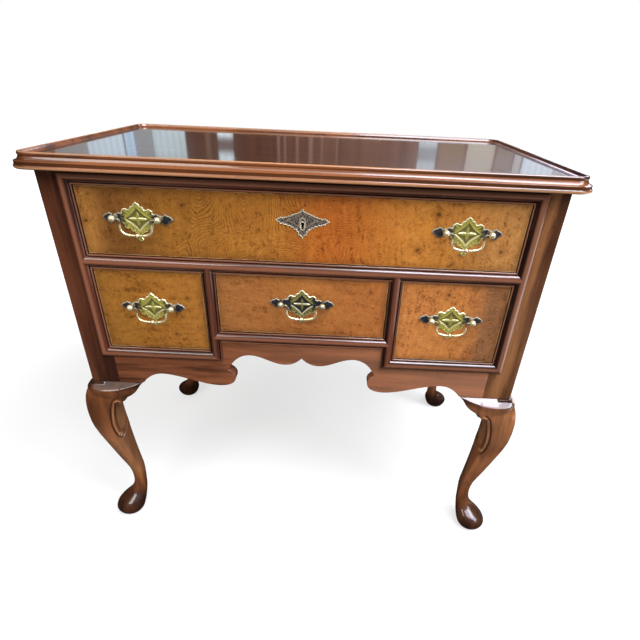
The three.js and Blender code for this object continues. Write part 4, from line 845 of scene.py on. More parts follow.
def rim_profile():
    """(share inwards, share up, recess, lightening), from the underside to the tray. The crest
    and the lower bead get wear and painted highlights, the cove and the profile's corners painted
    shade, and the tray is darkened.
    """
    rows = [(*RIM_START, True)]
    for run in RIM_RUN_SHARES:
        curve = catmull([rows[-1][:2], *run], RIM_STEPS) if len(run) > 1 else [None, run[0]]
        rows.extend((inwards, up, False) for inwards, up in curve[1:-1])
        rows.append((*curve[-1], True))
    profile = []
    for inwards, up, at_corner in rows:
        crest = 0.8 if up > 0.95 or (up < 0.16 and inwards < 0.03) else 0.0
        cove = 0.25 if 0.3 < inwards < 0.42 and up < 0.8 else 0.05
        darkening = TRAY_DARKENING if inwards > 0.99 else 0.65 if at_corner else cove
        profile.append((inwards, up, darkening, crest))
    return profile


def make_top():
    low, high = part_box("rim_front")
    left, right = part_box("rim_left")[0].x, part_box("rim_right")[1].x
    near, far = low.y + TOP_CORNER_RADIUS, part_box("rim_back")[1].y - TOP_CORNER_RADIUS
    centres = [
        (right - TOP_CORNER_RADIUS, near), (right - TOP_CORNER_RADIUS, far),
        (left + TOP_CORNER_RADIUS, far), (left + TOP_CORNER_RADIUS, near),
    ]
    stations = []
    for number, (x, y) in enumerate(centres):
        start = 90 * (number - 1)
        for step in range(CORNER_STEPS + 1):
            angle = math.radians(start + 90 * step / CORNER_STEPS)
            stations.append((x, y, math.cos(angle), math.sin(angle)))
        following = centres[(number + 1) % len(centres)]
        for step in range(1, EDGE_STEPS):
            share = step / EDGE_STEPS
            stations.append((
                x + (following[0] - x) * share, y + (following[1] - y) * share,
                math.cos(angle), math.sin(angle),
            ))
    rings = []
    recess = []
    wear_and_highlight = []
    for inwards, up, darkening, highlight_and_wear in rim_profile():
        radius = TOP_CORNER_RADIUS - inwards * RIM_WIDTH
        level = low.z + up * (high.z - low.z)
        rings.append([(x + out_x * radius, y + out_y * radius, level)
                      for x, y, out_x, out_y in stations])
        for x, *_rest in stations:
            # The crest keeps its wear and painted highlight at the left, and is darkened at the
            # right.
            right_darkening = 0.8 * smooth_share(x, 0, 0.3) if up > 0.8 else 0
            recess.append(max(darkening, right_darkening))
            wear_and_highlight.append(highlight_and_wear * (1 - right_darkening))
    shell = Shell()
    shell.loft(rings, recess, wear_and_highlight)
    add_piece(
        "dished_top", shell.mesh("top"), [TOP_WOOD], "case",
        ["top_board", "rim_front", "rim_back", "rim_left", "rim_right"], sharp=50,
    )


# The legs. The rows are the solid's own: height as a share of the leg, how far the outer and
# inner faces lie from the case's corner along the diagonal, as shares of the post's diagonal,
# and the roundness of the section, from 1, square, to 2, round.

LEG_SHARES = [
    (0, 0.09, -0.38, 2), (0.01, 0.175, -0.455, 2), (0.03, 0.25, -0.51, 2),
    (0.05, 0.281, -0.545, 2), (0.07, 0.245, -0.58, 2), (0.085, 0.175, -0.605, 2),
    (0.1, 0.08, -0.63, 2), (0.116, -0.045, -0.655, 2), (0.134, -0.18, -0.68, 2),
    (0.16, -0.3, -0.705, 2), (0.2, -0.367, -0.722, 2), (0.25, -0.378, -0.738, 2),
    (0.31, -0.342, -0.742, 1.95), (0.36, -0.272, -0.722, 1.8), (0.434, -0.15, -0.686, 1.65),
    (0.514, -0.026, -0.655, 1.5), (0.6, 0.105, -0.625, 1.4), (0.67, 0.207, -0.61, 1.32),
    (0.74, 0.284, -0.586, 1.27), (0.81, 0.311, -0.585, 1.24), (0.87, 0.305, -0.655, 1.22),
    (0.915, 0.272, -0.77, 1.2), (0.95, 0.215, -0.88, 1.16), (0.975, 0.13, -0.97, 1.1),
    (1, 0, -1, 1),
]
LEG_SIDES = 56
LEG_RING_STEPS = 4

# Each row of a knee block: its place from the corner to the tip, its depth and its swell,
# as shares of the block's reach, drop and swell.
EAR_SHARES = [
    (-0.05, 0.9, 0.6), (0.05, 1.12, 0.88), (0.22, 1.18, 1), (0.38, 1.16, 0.98),
    (0.555, 1, 0.86), (0.6, 0.85, 0.8), (0.66, 0.76, 0.7), (0.75, 0.64, 0.55),
    (0.84, 0.46, 0.38), (0.93, 0.18, 0.2), (1, 0.04, 0.06),
]
EAR_SECTION_SHARES = [
    (0, 0), (0.3, 0.07), (0.62, 0.15), (0.92, 0.235), (1, 0.33), (0.97, 0.46), (0.8, 0.7),
    (0.5, 0.88), (0.1, 1),
]
EAR_STEPS = 3
EAR_REACH = 40 * MM
EAR_DROP = 44 * MM
EAR_DEPTH = 22 * MM
EAR_SWELL = 17 * MM


def leg_rings():
    """Rings of (out x, out y, z), measured outwards from the case's corner."""
    diagonal = POST * math.sqrt(2)
    rings = []
    for height, outer, inner, roundness in catmull(LEG_SHARES, LEG_RING_STEPS):
        half = (outer - inner) / 2 * diagonal
        middle = (outer + inner) / 2 * diagonal
        level = min(max(height, 0), 1) * LEG_HEIGHT
        ring = []
        for side in range(LEG_SIDES):
            angle = side / LEG_SIDES * math.tau
            along, across = (
                math.copysign(abs(value) ** (2 / roundness), value)
                for value in (math.cos(angle), math.sin(angle))
            )
            out, sideways = middle + half * along, half * across
            ring.append(((out + sideways) / math.sqrt(2), (out - sideways) / math.sqrt(2), level))
        rings.append(ring)
    return rings


def ear_rings(place):
    section = catmull(EAR_SECTION_SHARES, EAR_STEPS)
    rings = []
    for share, depth, swell in catmull(EAR_SHARES, EAR_STEPS):
        along = share * (POST + EAR_REACH)
        ring = [
            place(along, forward * swell * EAR_SWELL, LEG_HEIGHT - down * depth * EAR_DROP)
            for forward, down in section
        ]
        ring.append(place(along, -EAR_DEPTH, LEG_HEIGHT - depth * EAR_DROP))
        ring.append(place(along, -EAR_DEPTH, LEG_HEIGHT))
        rings.append(ring)
    return rings


# The knee's C-scroll, as (sideways, height) in a plane turned from the front towards the case's
# middle: the groove outside the scroll, its rounded band, and its two volutes with their radii.

SCROLL_TURN = math.radians(31)
SCROLL_GROOVE = [
    (27, 318), (21, 312), (16, 300), (12.6, 283), (11, 264), (11.8, 246), (14.5, 232),
    (19, 223), (25, 219.5), (31, 225), (36, 233), (39, 241),
]
SCROLL_BAND = [
    (35, 311), (31, 316), (25, 312), (20.5, 299), (17.2, 283), (15.6, 264), (16.2, 248),
    (18.5, 237), (21, 231),
]
VOLUTES = [(30.5, 311, 4.4), (22.5, 230, 3.6)]
SCROLL_STEPS = 8
# The sunk panel inside the scroll: its edge as (heights), (sideways), its ends and depth
PANEL_EDGE = ((218, 235, 262, 295, 312), (27, 22, 19.5, 23.5, 30))
PANEL_SLOPE = 5
PANEL_FOOT = (234, 246)
PANEL_HEAD = (-309, -297)
PANEL_DEPTH = 2.6


def scroll_relief(places):
    """How far the carving lifts each place, in millimetres, how dark it is, and how much wear and
    painted highlights lighten it.
    """
    groove = distance_to_path(places, catmull(SCROLL_GROOVE, SCROLL_STEPS))
    band = distance_to_path(places, catmull(SCROLL_BAND, SCROLL_STEPS))
    lift = 1.3 * ridge(band, 0, 2.3) - 2.4 * ridge(groove, 0, 1.5)
    dark = 0.95 * ridge(groove, 0, 1.7)
    wear_and_highlight = 0.8 * ridge(band, 0, 1.2)
    side, height = places.T
    edge = np.interp(height, *PANEL_EDGE)
    panel = smooth_share(side, edge, edge + PANEL_SLOPE)
    panel *= smooth_share(height, *PANEL_FOOT) * smooth_share(-height, *PANEL_HEAD)
    lift -= PANEL_DEPTH * panel
    for x, z, radius in VOLUTES:
        away = np.hypot(side - x, height - z)
        lift += 1.5 * ridge(away, radius, 1.5) - 1.6 * ridge(away, 0, 1.7)
        wear_and_highlight += 0.7 * ridge(away, radius, 0.8)
        dark = np.maximum(dark, 0.95 * ridge(away, 0, 2.1))
    dark *= 1 - 0.8 * np.clip(wear_and_highlight, 0, 1)
    wear_and_highlight = np.maximum(wear_and_highlight, 0.4 * panel * (1 - dark))
    return lift, dark, np.clip(wear_and_highlight, 0, 1)


def carve_scrolls(mesh):
    """Cuts the C-scroll into both outer faces of a front leg's knee."""
    local = mesh_array(mesh, "co")
    normals = mesh_array(mesh, "normal")
    dark = np.zeros(len(local))
    wear_and_highlight = np.zeros(len(local))
    moved = local.copy()
    cosine, sine = math.cos(SCROLL_TURN), math.sin(SCROLL_TURN)
    for first, second in ((0, 1), (1, 0)):
        side = -local[:, first] * cosine - local[:, second] * sine
        facing = normals[:, second] * cosine - normals[:, first] * sine
        near = smooth_share(facing, 0.1, 0.4) * smooth_share(-local[:, first] / MM, 4, 10)
        lift, shade, highlight_and_wear = scroll_relief(np.stack([side, local[:, 2]], 1) / MM)
        moved += normals * (lift * near * MM)[:, None]
        dark = np.maximum(dark, shade * near)
        wear_and_highlight = np.maximum(wear_and_highlight, highlight_and_wear * near)
    mesh.vertices.foreach_set("co", moved.ravel())
    mesh.update()
    return dark, wear_and_highlight


FINE_VOXEL = 1.05 * MM
COARSE_VOXEL = 1.6 * MM


def carved_leg(front):
    """A cabriole leg with its knee blocks, in places measured outwards from the corner."""
    shell = Shell()
    shell.loft(leg_rings())
    shell.loft(ear_rings(lambda along, out, z: (out, -along, z)))
    if front:
        shell.loft(ear_rings(lambda along, out, z: (-along, out, z)))
    rough = shell.mesh("leg")
    outward(rough)
    carrier = add_object("work", rough)
    remesh = carrier.modifiers.new("remesh", "REMESH")
    remesh.mode = "VOXEL"
    remesh.voxel_size = FINE_VOXEL if front else COARSE_VOXEL
    remesh.adaptivity = 0.0
    smooth = carrier.modifiers.new("smooth", "SMOOTH")
    smooth.factor = 0.5
    smooth.iterations = 5
    graph = bpy.context.evaluated_depsgraph_get()
    result = bpy.data.meshes.new_from_object(carrier.evaluated_get(graph))
    bpy.data.objects.remove(carrier)
    return result


# Painted shade on each front leg's knee, and painted highlights on its calf and its knee.
LEG_PAINTED_SHADE_AND_LIGHT = {"left": (0.5, 0.5, 0), "right": (0, 0.2, 0.24)}
FOOT_DARK = 0.93
SHELF_DARK = 0.97
FLANK_PAINTED_SHADE = 0.45


def make_leg(label, side, front):
    mesh = carved_leg(front)
    dark = wear_and_highlight = np.zeros(len(mesh.vertices))
    if front:
        dark, wear_and_highlight = carve_scrolls(mesh)
    x, y, z = mesh_array(mesh, "co").T
    z = np.clip(z, 0, LEG_HEIGHT)
    y = FRONT_Y - y if front else BACK_Y + y
    if front != (side > 0):
        mesh.flip_normals()
    mesh.vertices.foreach_set("co", np.stack([side * (HALF_WIDTH + x), y, z], 1).ravel())
    mesh.update()
    up = z / LEG_HEIGHT
    # Darker towards the foot and on the knee's top shelf, and painted shade on the flanks that face
    # sideways
    foot = FOOT_DARK * np.clip((0.24 - up) / 0.12, 0, 1)
    shelf = SHELF_DARK * np.clip((up - 0.93) / 0.05, 0, 1)
    flanks = FLANK_PAINTED_SHADE * smooth_share(np.abs(mesh_array(mesh, "normal")[:, 0]), 0.6, 0.95)
    dark = np.maximum.reduce([dark, flanks, foot, shelf])
    if front:
        knee, calf, knee_light = LEG_PAINTED_SHADE_AND_LIGHT[label]
        # Painted shade on the knee, and painted highlights on the calf and the knee
        dark = np.maximum(dark, knee * smooth_share(up, 0.6, 0.8))
        light = calf * smooth_share(up, 0.22, 0.34) * smooth_share(-up, -0.82, -0.55)
        light = np.maximum(light, knee_light * smooth_share(up, 0.6, 0.75))
        wear_and_highlight = np.maximum(wear_and_highlight, light * (1 - dark))

    post = Shell()
    low_x, high_x = sorted((side * INNER_X, side * HALF_WIDTH))
    low_y, high_y = (FRONT_Y, FRONT_Y + POST) if front else (BACK_Y - POST, BACK_Y)
    post.box((low_x, low_y, LEG_HEIGHT), (high_x, high_y, CASE_TOP), 0.8 * MM, material=1)
    if front:
        add_stile_bead(post, side)
    mesh = joined_mesh("leg", mesh, post.mesh("post"))
    set_values(mesh, "recess", [*dark, *post.recess])
    set_values(mesh, "wear_and_highlight", [*wear_and_highlight, *post.wear_and_highlight])
    node = f"leg_{'front' if front else 'rear'}_{label}"
    woods = [LEG_WOOD, POST_WOODS_LIT_AND_SHADED[label], BEAD_WOOD_UPRIGHT]
    add_piece(f"{node}_carved", mesh, woods, "case", [node])


def add_stile_bead(shell, side):
    """The moulding on a corner post, notched where the middle rail's arrow runs in."""
    profile = bead_profile(BEAD_WIDTH, False)
    if side > 0:
        # This one's outer half is painted lighter, as wear and painted light, and its inner half is
        # painted dark, as painted shade.
        worn_and_lit = []
        for across, height, recess, wear_and_highlight in profile:
            share = across / BEAD_WIDTH
            recess = max(recess, 0.9 * (share < 0.4))
            worn_and_lit.append((across, height, recess, max(wear_and_highlight, 0.5 * (0.5 < share < 0.9))))
        profile = worn_and_lit
    middle = (MIDDLE_LOW + MIDDLE_HIGH) / 2
    half = (MIDDLE_HIGH - MIDDLE_LOW) / 2

    def notch(direction):
        return lambda across: middle + direction * max(half - across, 0)

    for start, end in (
        (mitre(SIDE_BOTTOM, -1), notch(-1)), (notch(1), mitre(TOP_OPENING_TOP, 1))
    ):
        place = on_case(INNER_X, 1, side, True)
        add_strip(shell, profile, BEAD_WIDTH, place, start, end, material=2)


# Brasses, in millimetres. Outlines are runs of (across, up) in shares of the piece's half width
# and of its height above or below its middle. A new run goes on from each cusp.

PLATE_UPPER_RUNS = [
    [(0, 1), (0.045, 0.91), (0.094, 0.83), (0.1, 0.73)],
    [(0.15, 0.71), (0.19, 0.635), (0.205, 0.54)],
    [(0.235, 0.5), (0.266, 0.505)],
    [(0.33, 0.56), (0.4, 0.505), (0.443, 0.385), (0.44, 0.29)],
    [(0.48, 0.25), (0.53, 0.27), (0.57, 0.235), (0.61, 0.175)],
    [(0.665, 0.14), (0.715, 0.175), (0.757, 0.245), (0.808, 0.27), (0.83, 0.19)],
    [(0.9, 0.15), (0.96, 0.05), (1, -0.08)],
]
PLATE_LOWER_RUNS = [
    [(1, 0.052), (0.94, 0.125), (0.87, 0.17)],
    [(0.855, 0.23), (0.785, 0.275), (0.71, 0.245), (0.667, 0.185)],
    [(0.59, 0.195), (0.51, 0.178), (0.478, 0.205)],
    [(0.443, 0.257), (0.408, 0.33), (0.412, 0.4), (0.373, 0.457), (0.306, 0.49), (0.247, 0.45)],
    [(0.243, 0.525), (0.208, 0.588), (0.149, 0.577)],
    [(0.133, 0.63), (0.078, 0.66), (0.043, 0.7)],
    [(0.041, 0.77), (0.06, 0.83), (0.092, 0.875), (0.06, 0.94), (0, 1)],
]
ESCUTCHEON_UPPER_RUNS = [
    [(0, 1), (0.045, 0.84), (0.1, 0.72)], [(0.15, 0.69), (0.2, 0.6)],
    [(0.26, 0.59), (0.32, 0.5)], [(0.38, 0.49), (0.44, 0.39)], [(0.51, 0.375), (0.57, 0.29)],
    [(0.65, 0.27), (0.71, 0.2)], [(0.78, 0.29), (0.84, 0.2)], [(0.92, 0.1), (1, 0)],
]
ESCUTCHEON_LOWER_RUNS = [
    [(1, 0), (0.92, 0.06), (0.84, 0.12)], [(0.79, 0.22), (0.73, 0.17)],
    [(0.67, 0.25), (0.6, 0.23)], [(0.53, 0.31), (0.46, 0.29)], [(0.4, 0.39), (0.34, 0.37)],
    [(0.3, 0.49), (0.23, 0.47)], [(0.2, 0.6), (0.15, 0.6)],
    [(0.17, 0.72), (0.13, 0.79), (0.08, 0.78)], [(0.04, 0.88), (0, 1)],
]
OUTLINE_STEPS = 4


def mirrored_outline(upper, lower, half, peak, tip):
    """A closed outline, from the runs of its right half."""
    right = []
    for runs, height in ((upper, peak), (lower, -tip)):
        cusp = []
        for run in runs:
            curve = catmull([*cusp, *run], OUTLINE_STEPS)
            right.extend((across * half, up * height) for across, up in curve[:-1])
            cusp = [run[-1]]
    right.append((0, -tip))
    return right + [(-x, z) for x, z in reversed(right[1:-1])]


def inside_outline(places, outline):
    inside = np.zeros(len(places), bool)
    for (ax, az), (bx, bz) in zip(outline, [*outline[1:], outline[0]]):
        crosses = (az > places[:, 1]) != (bz > places[:, 1])
        slope = (bx - ax) / (bz - az) if bz != az else 0
        inside ^= crosses & (places[:, 0] < ax + (places[:, 1] - az) * slope)
    return inside


# A grid of even triangles: the rise of its rows, and how near it comes to an edge or a
# hole, all as shares of its gap.
ROW_RISE = 0.866
EDGE_CLEARANCE = 0.6
HOLE_CLEARANCE = 0.4


def filled_outline(outline, gap, holes):
    """Triangles over an outline, with points every gap inside it."""
    xs, zs = zip(*outline)
    row = 0
    inner = []
    z = min(zs) + gap / 2
    while z < max(zs):
        shift = gap / 2 if row % 2 else 0
        inner.extend((x, z) for x in np.arange(min(xs) + shift, max(xs), gap))
        z += gap * ROW_RISE
        row += 1
    inner = np.array(inner)
    keep = distance_to_path(inner, [*outline, outline[0]]) > gap * EDGE_CLEARANCE
    for hole in holes:
        keep &= distance_to_path(inner, [*hole, hole[0]]) > gap * HOLE_CLEARANCE
    points = [Vector(place) for place in [*outline, *inner[keep]]]
    edges = []
    for hole in holes:
        start, count = len(points), len(hole)
        points.extend(Vector(place) for place in hole)
        edges.extend((start + index, start + (index + 1) % count) for index in range(count))
    made = delaunay_2d_cdt(points, edges, [list(range(len(outline)))], 1, 1e-5)
    places = np.array([tuple(point) for point in made[0]])
    triangles = [list(face) for face in made[2]]
    for hole in holes:
        middles = np.array([places[face].mean(axis=0) for face in triangles])
        inside = inside_outline(middles, hole)
        triangles = [face for face, within in zip(triangles, inside) if not within]
    return places, triangles


def relief_plate(name, outline, relief, gap, holes=()):
    """A thin plate with a relief on its front. relief(places, edge) gives the height, the tarnish
    and the lightening, as wear and painted highlights, of each place, edge being its distance
    from the outline."""
    places, triangles = filled_outline(outline, gap, holes)
    edge = distance_to_path(places, [*outline, outline[0]])
    for hole in holes:
        edge = np.minimum(edge, distance_to_path(places, [*hole, hole[0]]))
    height, tarnish, wear_and_highlight = relief(places, edge)
    front = np.stack([places[:, 0], -height, places[:, 1]], 1)
    values = {"tarnish": tarnish, "wear_and_highlight": wear_and_highlight, "recess": np.zeros(len(front))}
    mesh = build_mesh(name, front, triangles, values)
    work = bmesh.new()
    work.from_mesh(mesh)
    layers = work.verts.layers.float
    rim = [item for item in work.edges if len(item.link_faces) == 1]
    made = bmesh.ops.extrude_edge_only(work, edges=rim)["geom"]
    for vertex in (item for item in made if isinstance(item, bmesh.types.BMVert)):
        vertex.co.y = -SEAM / MM
        vertex[layers["tarnish"]] = 1
        vertex[layers["wear_and_highlight"]] = 0
    low = [
        item for item in made
        if isinstance(item, bmesh.types.BMEdge) and len(item.link_faces) == 1
    ]
    bmesh.ops.triangle_fill(work, edges=low, use_beauty=True)
    bmesh.ops.recalc_face_normals(work, faces=work.faces)
    work.to_mesh(mesh)
    work.free()
    return mesh


PLATE_GAP = 0.62
PLATE_PEAK = 23
STAR_HALF = 21
STAR_MIDDLE = -3
STAR_UP = 18
STAR_DOWN = 17
STAR_POWER = 0.8
PETAL = (14.4, 3.5)
LEAF = (10.8, 3.1)


def petal(along, across, length, half):
    share = np.clip(along / length, 0, 1)
    width = half * np.sqrt(1 - share ** 2) * (0.72 + 0.28 * np.sin(math.pi * share))
    dome = np.clip(1 - (across / np.maximum(width, 0.01)) ** 2, 0, 1) ** 0.6
    return dome * (along < length)


def plate_relief(places, edge):
    """A leaf cross in a star-shaped recess, inside a border of lobes, between dark wings."""
    x, z = np.abs(places[:, 0]), places[:, 1] - STAR_MIDDLE
    reach = np.where(z > 0, STAR_UP, STAR_DOWN)
    star = (x / STAR_HALF) ** STAR_POWER + (np.abs(z) / reach) ** STAR_POWER
    recess = smooth_share(-star, -1.0, -0.86)
    sideways = petal(x, np.abs(z), *PETAL)
    upright = petal(np.abs(z), x, *LEAF)
    leaf = np.maximum(sideways, upright)
    vein = np.maximum(ridge(z, 0, 0.5) * (sideways > 0), ridge(x, 0, 0.5) * (upright > 0))
    flutes = 0.14 * np.cos(np.arctan2(z, x) * 22) * smooth_share(star, 1.02, 1.3)
    border = 1.35 + flutes + 0.5 * ridge(star, 1.04, 0.06) + 0.45 * ridge(edge, 1.0, 0.6)
    height = border * (1 - recess) + recess * (0.55 + 1.5 * leaf - 0.35 * vein)
    height *= 0.35 + 0.65 * smooth_share(edge, 0, 0.8)
    wing = smooth_share(x, 21, 26)
    tarnish = np.maximum.reduce([
        recess * (1 - leaf) * 0.65, wing * 0.97, 0.85 * ridge(star, 0.93, 0.04),
        0.75 * smooth_share(x, 15, 22) * smooth_share(edge, 1, 3), 0.3 * vein * leaf,
    ])
    tarnish += 0.35 * (flutes < -0.08) * (1 - wing)
    # Painted highlights, with some wear, along the outline's upper edges, the star's lower edge and
    # the side petals' upper edges
    wear_and_highlight = ridge(edge, 0.6, 0.9) * np.where(z > 0, 0.85, 0.3) * (1 - 0.6 * wing)
    below = ridge(star, 1.06, 0.05) * (z < -2) * (1 - wing)
    petals = ridge(z, 1.4, 0.6) * (sideways > 0.1)
    wear_and_highlight = np.maximum(wear_and_highlight, 0.9 * np.maximum(below, petals))
    return height, np.clip(tarnish + 0.05, 0, 1), np.clip(wear_and_highlight, 0, 1)


PIVOT_STANDOFF = 13
POST_HALF = 33.25
BALL_RADIUS = 5
BALL_STEPS = 12
BALL_ARC = math.pi * 0.88
# The flat button at a ball's front, by the radii where it starts and ends
BUTTON = (0.01, 0.7)
POST_SIDES = 28
SHANK_SIDES = 16
NUT_SIDES = 8
# A post is dark behind its ball, from this y on.
POST_DARK_Y = -9.5
FRONT_THICKNESS = 20
# A post's collar and neck, and the shank and nut behind the drawer's front, as (radius, y)
NECK = [
    (2.4, -7.4), (2.5, -5.6), (3.1, -4.8), (3.3, -4.2), (3.1, -3.7), (4.1, -3.2),
    (4.7, -2.6), (4.6, -1.9), (4.2, -1.5), (2, -1.3),
]
SHANK = [(2, -1.3), (2, FRONT_THICKNESS + 4.6)]
NUT = [(2.1, 0.1), (4.4, 0.1), (5, 0.6), (5, 2.8), (4.4, 3.3), (2.1, 3.3)]


def handle_posts():
    """The two cast posts, each with its ball, and their shanks and nuts."""
    tip = -PIVOT_STANDOFF - BALL_RADIUS
    profile = [(radius, tip) for radius in BUTTON]
    for step in range(1, BALL_STEPS + 1):
        angle = BALL_ARC * step / BALL_STEPS
        profile.append((
            math.sin(angle) * BALL_RADIUS, -PIVOT_STANDOFF - math.cos(angle) * BALL_RADIUS
        ))
    posts = Shell()
    backs = Shell()
    for side in (-1, 1):
        posts.turn([*profile, *NECK], POST_SIDES, side * POST_HALF)
        backs.turn(SHANK, SHANK_SIDES, side * POST_HALF)
        nut = [(radius, FRONT_THICKNESS + y) for radius, y in NUT]
        backs.turn(nut, NUT_SIDES, side * POST_HALF)
    posts.recess = [1.0 if point.y > POST_DARK_Y else 0.0 for point in posts.points]
    meshes = []
    for number, shell in ((1, posts), (2, backs)):
        shell.materials = [number] * len(shell.faces)
        meshes.append(shell.mesh("posts"))
        set_values(meshes[-1], "tarnish", np.zeros(len(shell.points)))
    return meshes


BAIL_PATH = [
    (1.39, 0), (1.25, 0), (1.12, 0.01), (1.02, 0.08), (0.98, 0.22), (1.02, 0.42), (1, 0.66),
    (0.84, 0.87), (0.56, 0.965), (0.26, 1), (0, 1),
]
BAIL_HALF = 23
BAIL_DROP = 24.3
BAIL_SIDES = 14
BAIL_STEPS = 7
BAIL_STATIONS = 90
# More stations round the drop in the middle, as shares of the whole way
DROP_START = 0.44
DROP_STEP = 0.005
DROP_STATIONS = 25
# The bail is dark up to this share of the half way, and at necks thinner than this.
BAIL_DARK_SHARE = 0.3
NECK_START = 0.24
NECK_RADIUS = 1.32
# Wire radius along half the bail, from the pin to the middle, as (share of the way, radius)
BAIL_SWELL = [
    (0, 1.3), (0.1, 1.3), (0.13, 1.9), (0.17, 2.1), (0.21, 1.8), (0.25, 1.35), (0.4, 1.55),
    (0.62, 1.9), (0.8, 2.0), (0.875, 1.55), (0.895, 1.25), (0.9, 2.0), (0.915, 2.1), (0.93, 1.2),
    (0.945, 1.3), (0.96, 2.4), (0.98, 3.05), (1, 3.2),
]


def make_bail_mesh():
    half = [Vector((x * BAIL_HALF, 0, -z * BAIL_DROP)) for x, z in catmull(BAIL_PATH, BAIL_STEPS)]
    path = half + [Vector((-place.x, 0, place.z)) for place in reversed(half[:-1])]
    lengths = [0]
    for before, after in zip(path, path[1:]):
        lengths.append(lengths[-1] + (after - before).length)
    swell_at, swell = zip(*BAIL_SWELL)
    shares = set(np.linspace(0, 1, BAIL_STATIONS))
    for at in swell_at:
        shares.update((at / 2, 1 - at / 2))
    shares.update(DROP_START + step * DROP_STEP for step in range(DROP_STATIONS))
    turns = [side / BAIL_SIDES * math.tau for side in range(BAIL_SIDES)]
    sideways = Vector((0, 1, 0))
    rings = []
    darkening = []
    for share in sorted(shares):
        place = share * lengths[-1]
        index = min(max(np.searchsorted(lengths, place), 1), len(path) - 1)
        before, after = path[index - 1], path[index]
        part = (place - lengths[index - 1]) / (lengths[index] - lengths[index - 1])
        middle = before.lerp(after, part)
        inwards = (after - before).normalized().cross(sideways)
        folded = 1 - abs(1 - 2 * share)
        radius = float(np.interp(folded, swell_at, swell))
        rings.append([
            middle + sideways * math.cos(turn) * radius + inwards * math.sin(turn) * radius
            for turn in turns
        ])
        neck = radius < NECK_RADIUS and folded > NECK_START
        dark = folded < BAIL_DARK_SHARE or neck
        darkening.extend([1.0 if dark else 0.0] * BAIL_SIDES)
    shell = Shell()
    shell.loft(rings, darkening)
    return shell.mesh("bail")


def placed(mesh, x, y, z):
    """A copy of the mesh with its millimetres made metres, at a place."""
    copy = mesh.copy()
    copy.transform(Matrix.Translation((x, y, z)) @ Matrix.Scale(MM, 4))
    return copy


# How much more tarnished the middle handle is than the others
CENTRE_TARNISH = 0.5


def make_handles():
    low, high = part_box("plate_left")
    half = (high.x - low.x) / 2 / MM
    tip = (high.z - low.z) / MM - PLATE_PEAK
    outline = mirrored_outline(PLATE_UPPER_RUNS, PLATE_LOWER_RUNS, half, PLATE_PEAK, tip)
    plate = relief_plate("plate", outline, plate_relief, PLATE_GAP)
    handle = joined_mesh("handle", plate, *handle_posts())
    bail = make_bail_mesh()
    for name in ("top_left", "top_right", "left", "centre", "right"):
        low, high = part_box(f"plate_{name}")
        x = (low.x + high.x) / 2
        z = high.z - PLATE_PEAK * MM
        mesh = placed(handle, x, FRONT_Y, z)
        if name == "centre":
            tarnish = np.zeros(len(mesh.vertices))
            mesh.attributes["tarnish"].data.foreach_get("value", tarnish)
            set_values(mesh, "tarnish", np.clip(tarnish + CENTRE_TARNISH, 0, 1))
        body = "drawer_" + ("top" if name.startswith("top") else name)
        add_piece(
            f"handle_plate_{name}", mesh, [PLATE_BRASS, BAIL_BRASS, DULL_BRASS], body,
            [f"plate_{name}"], sharp=50,
        )
        swing = placed(bail, x, FRONT_Y - PIVOT_STANDOFF * MM, z)
        add_piece(
            f"handle_bail_{name}", swing, [BAIL_BRASS], f"bail_{name}",
            [f"bail_{name}"], sharp=60,
        )


KEYHOLE_RADIUS = 2.6
KEYHOLE_SLOT = 1.6
KEYHOLE_DROP = 8
KEYHOLE_STEPS = 20
ESCUTCHEON_GAP = 0.6
# How the escutcheon's height is shared above and below its outline's middle
ESCUTCHEON_RISE = 0.4
ESCUTCHEON_FALL = 0.6


def keyhole_outline():
    start = math.asin(KEYHOLE_SLOT / KEYHOLE_RADIUS)
    ring = [(-KEYHOLE_SLOT, -KEYHOLE_DROP), (KEYHOLE_SLOT, -KEYHOLE_DROP)]
    for step in range(KEYHOLE_STEPS + 1):
        angle = -math.pi / 2 + start + (math.tau - 2 * start) * step / KEYHOLE_STEPS
        ring.append((math.cos(angle) * KEYHOLE_RADIUS, math.sin(angle) * KEYHOLE_RADIUS))
    return ring


def escutcheon_relief(places, edge):
    """A bright serrated rim, scrolls engraved inside it, and a raised ring round the key."""
    x, z = places.T
    diamond = (np.abs(x) / 40) ** 0.85 + np.abs(z / 23) ** 0.85
    rim = ridge(edge, 0.7, 0.7)
    inner = ridge(diamond, 0.62, 0.05)
    ring = ridge(distance_to_path(places, [(0, 0), (0, -KEYHOLE_DROP)]), 3.9, 0.8)
    waves = np.sin(x * 1.25 + 1.6 * np.sin(z * 0.9))
    waves *= np.sin(z * 1.4 + 1.3 * np.sin(np.abs(x) * 0.7))
    height = 0.8 + 0.6 * rim + 0.3 * inner + 0.7 * ring + 0.2 * waves
    height *= 0.4 + 0.6 * smooth_share(edge, 0, 0.5)
    # The rim is painted bright in teeth, as wear and painted highlights, and the ring round the key
    # is worn bright.
    teeth = 0.5 + 0.5 * np.sin(x * 2.1)
    wear_and_highlight = np.maximum(rim * (0.35 + 0.6 * teeth), 0.35 * ring)
    return height, np.clip(0.85 + 0.6 * waves - 0.3 * inner, 0, 1), np.clip(wear_and_highlight, 0, 1)


def make_escutcheon():
    low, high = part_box("escutcheon")
    half = (high.x - low.x) / 2 / MM
    height = (high.z - low.z) / MM
    peak, tip = height * ESCUTCHEON_RISE, height * ESCUTCHEON_FALL
    middle = high.z - peak * MM
    key_up = ((low.z + high.z) / 2 - middle) / MM
    hole = [(x, z + key_up) for x, z in keyhole_outline()]
    outline = mirrored_outline(ESCUTCHEON_UPPER_RUNS, ESCUTCHEON_LOWER_RUNS, half, peak, tip)
    mesh = relief_plate("escutcheon", outline, escutcheon_relief, ESCUTCHEON_GAP, [hole])
    add_piece(
        "key_escutcheon", placed(mesh, 0, FRONT_Y, middle), [ESCUTCHEON_BRASS], "drawer_top",
        ["escutcheon"], sharp=50,
    )


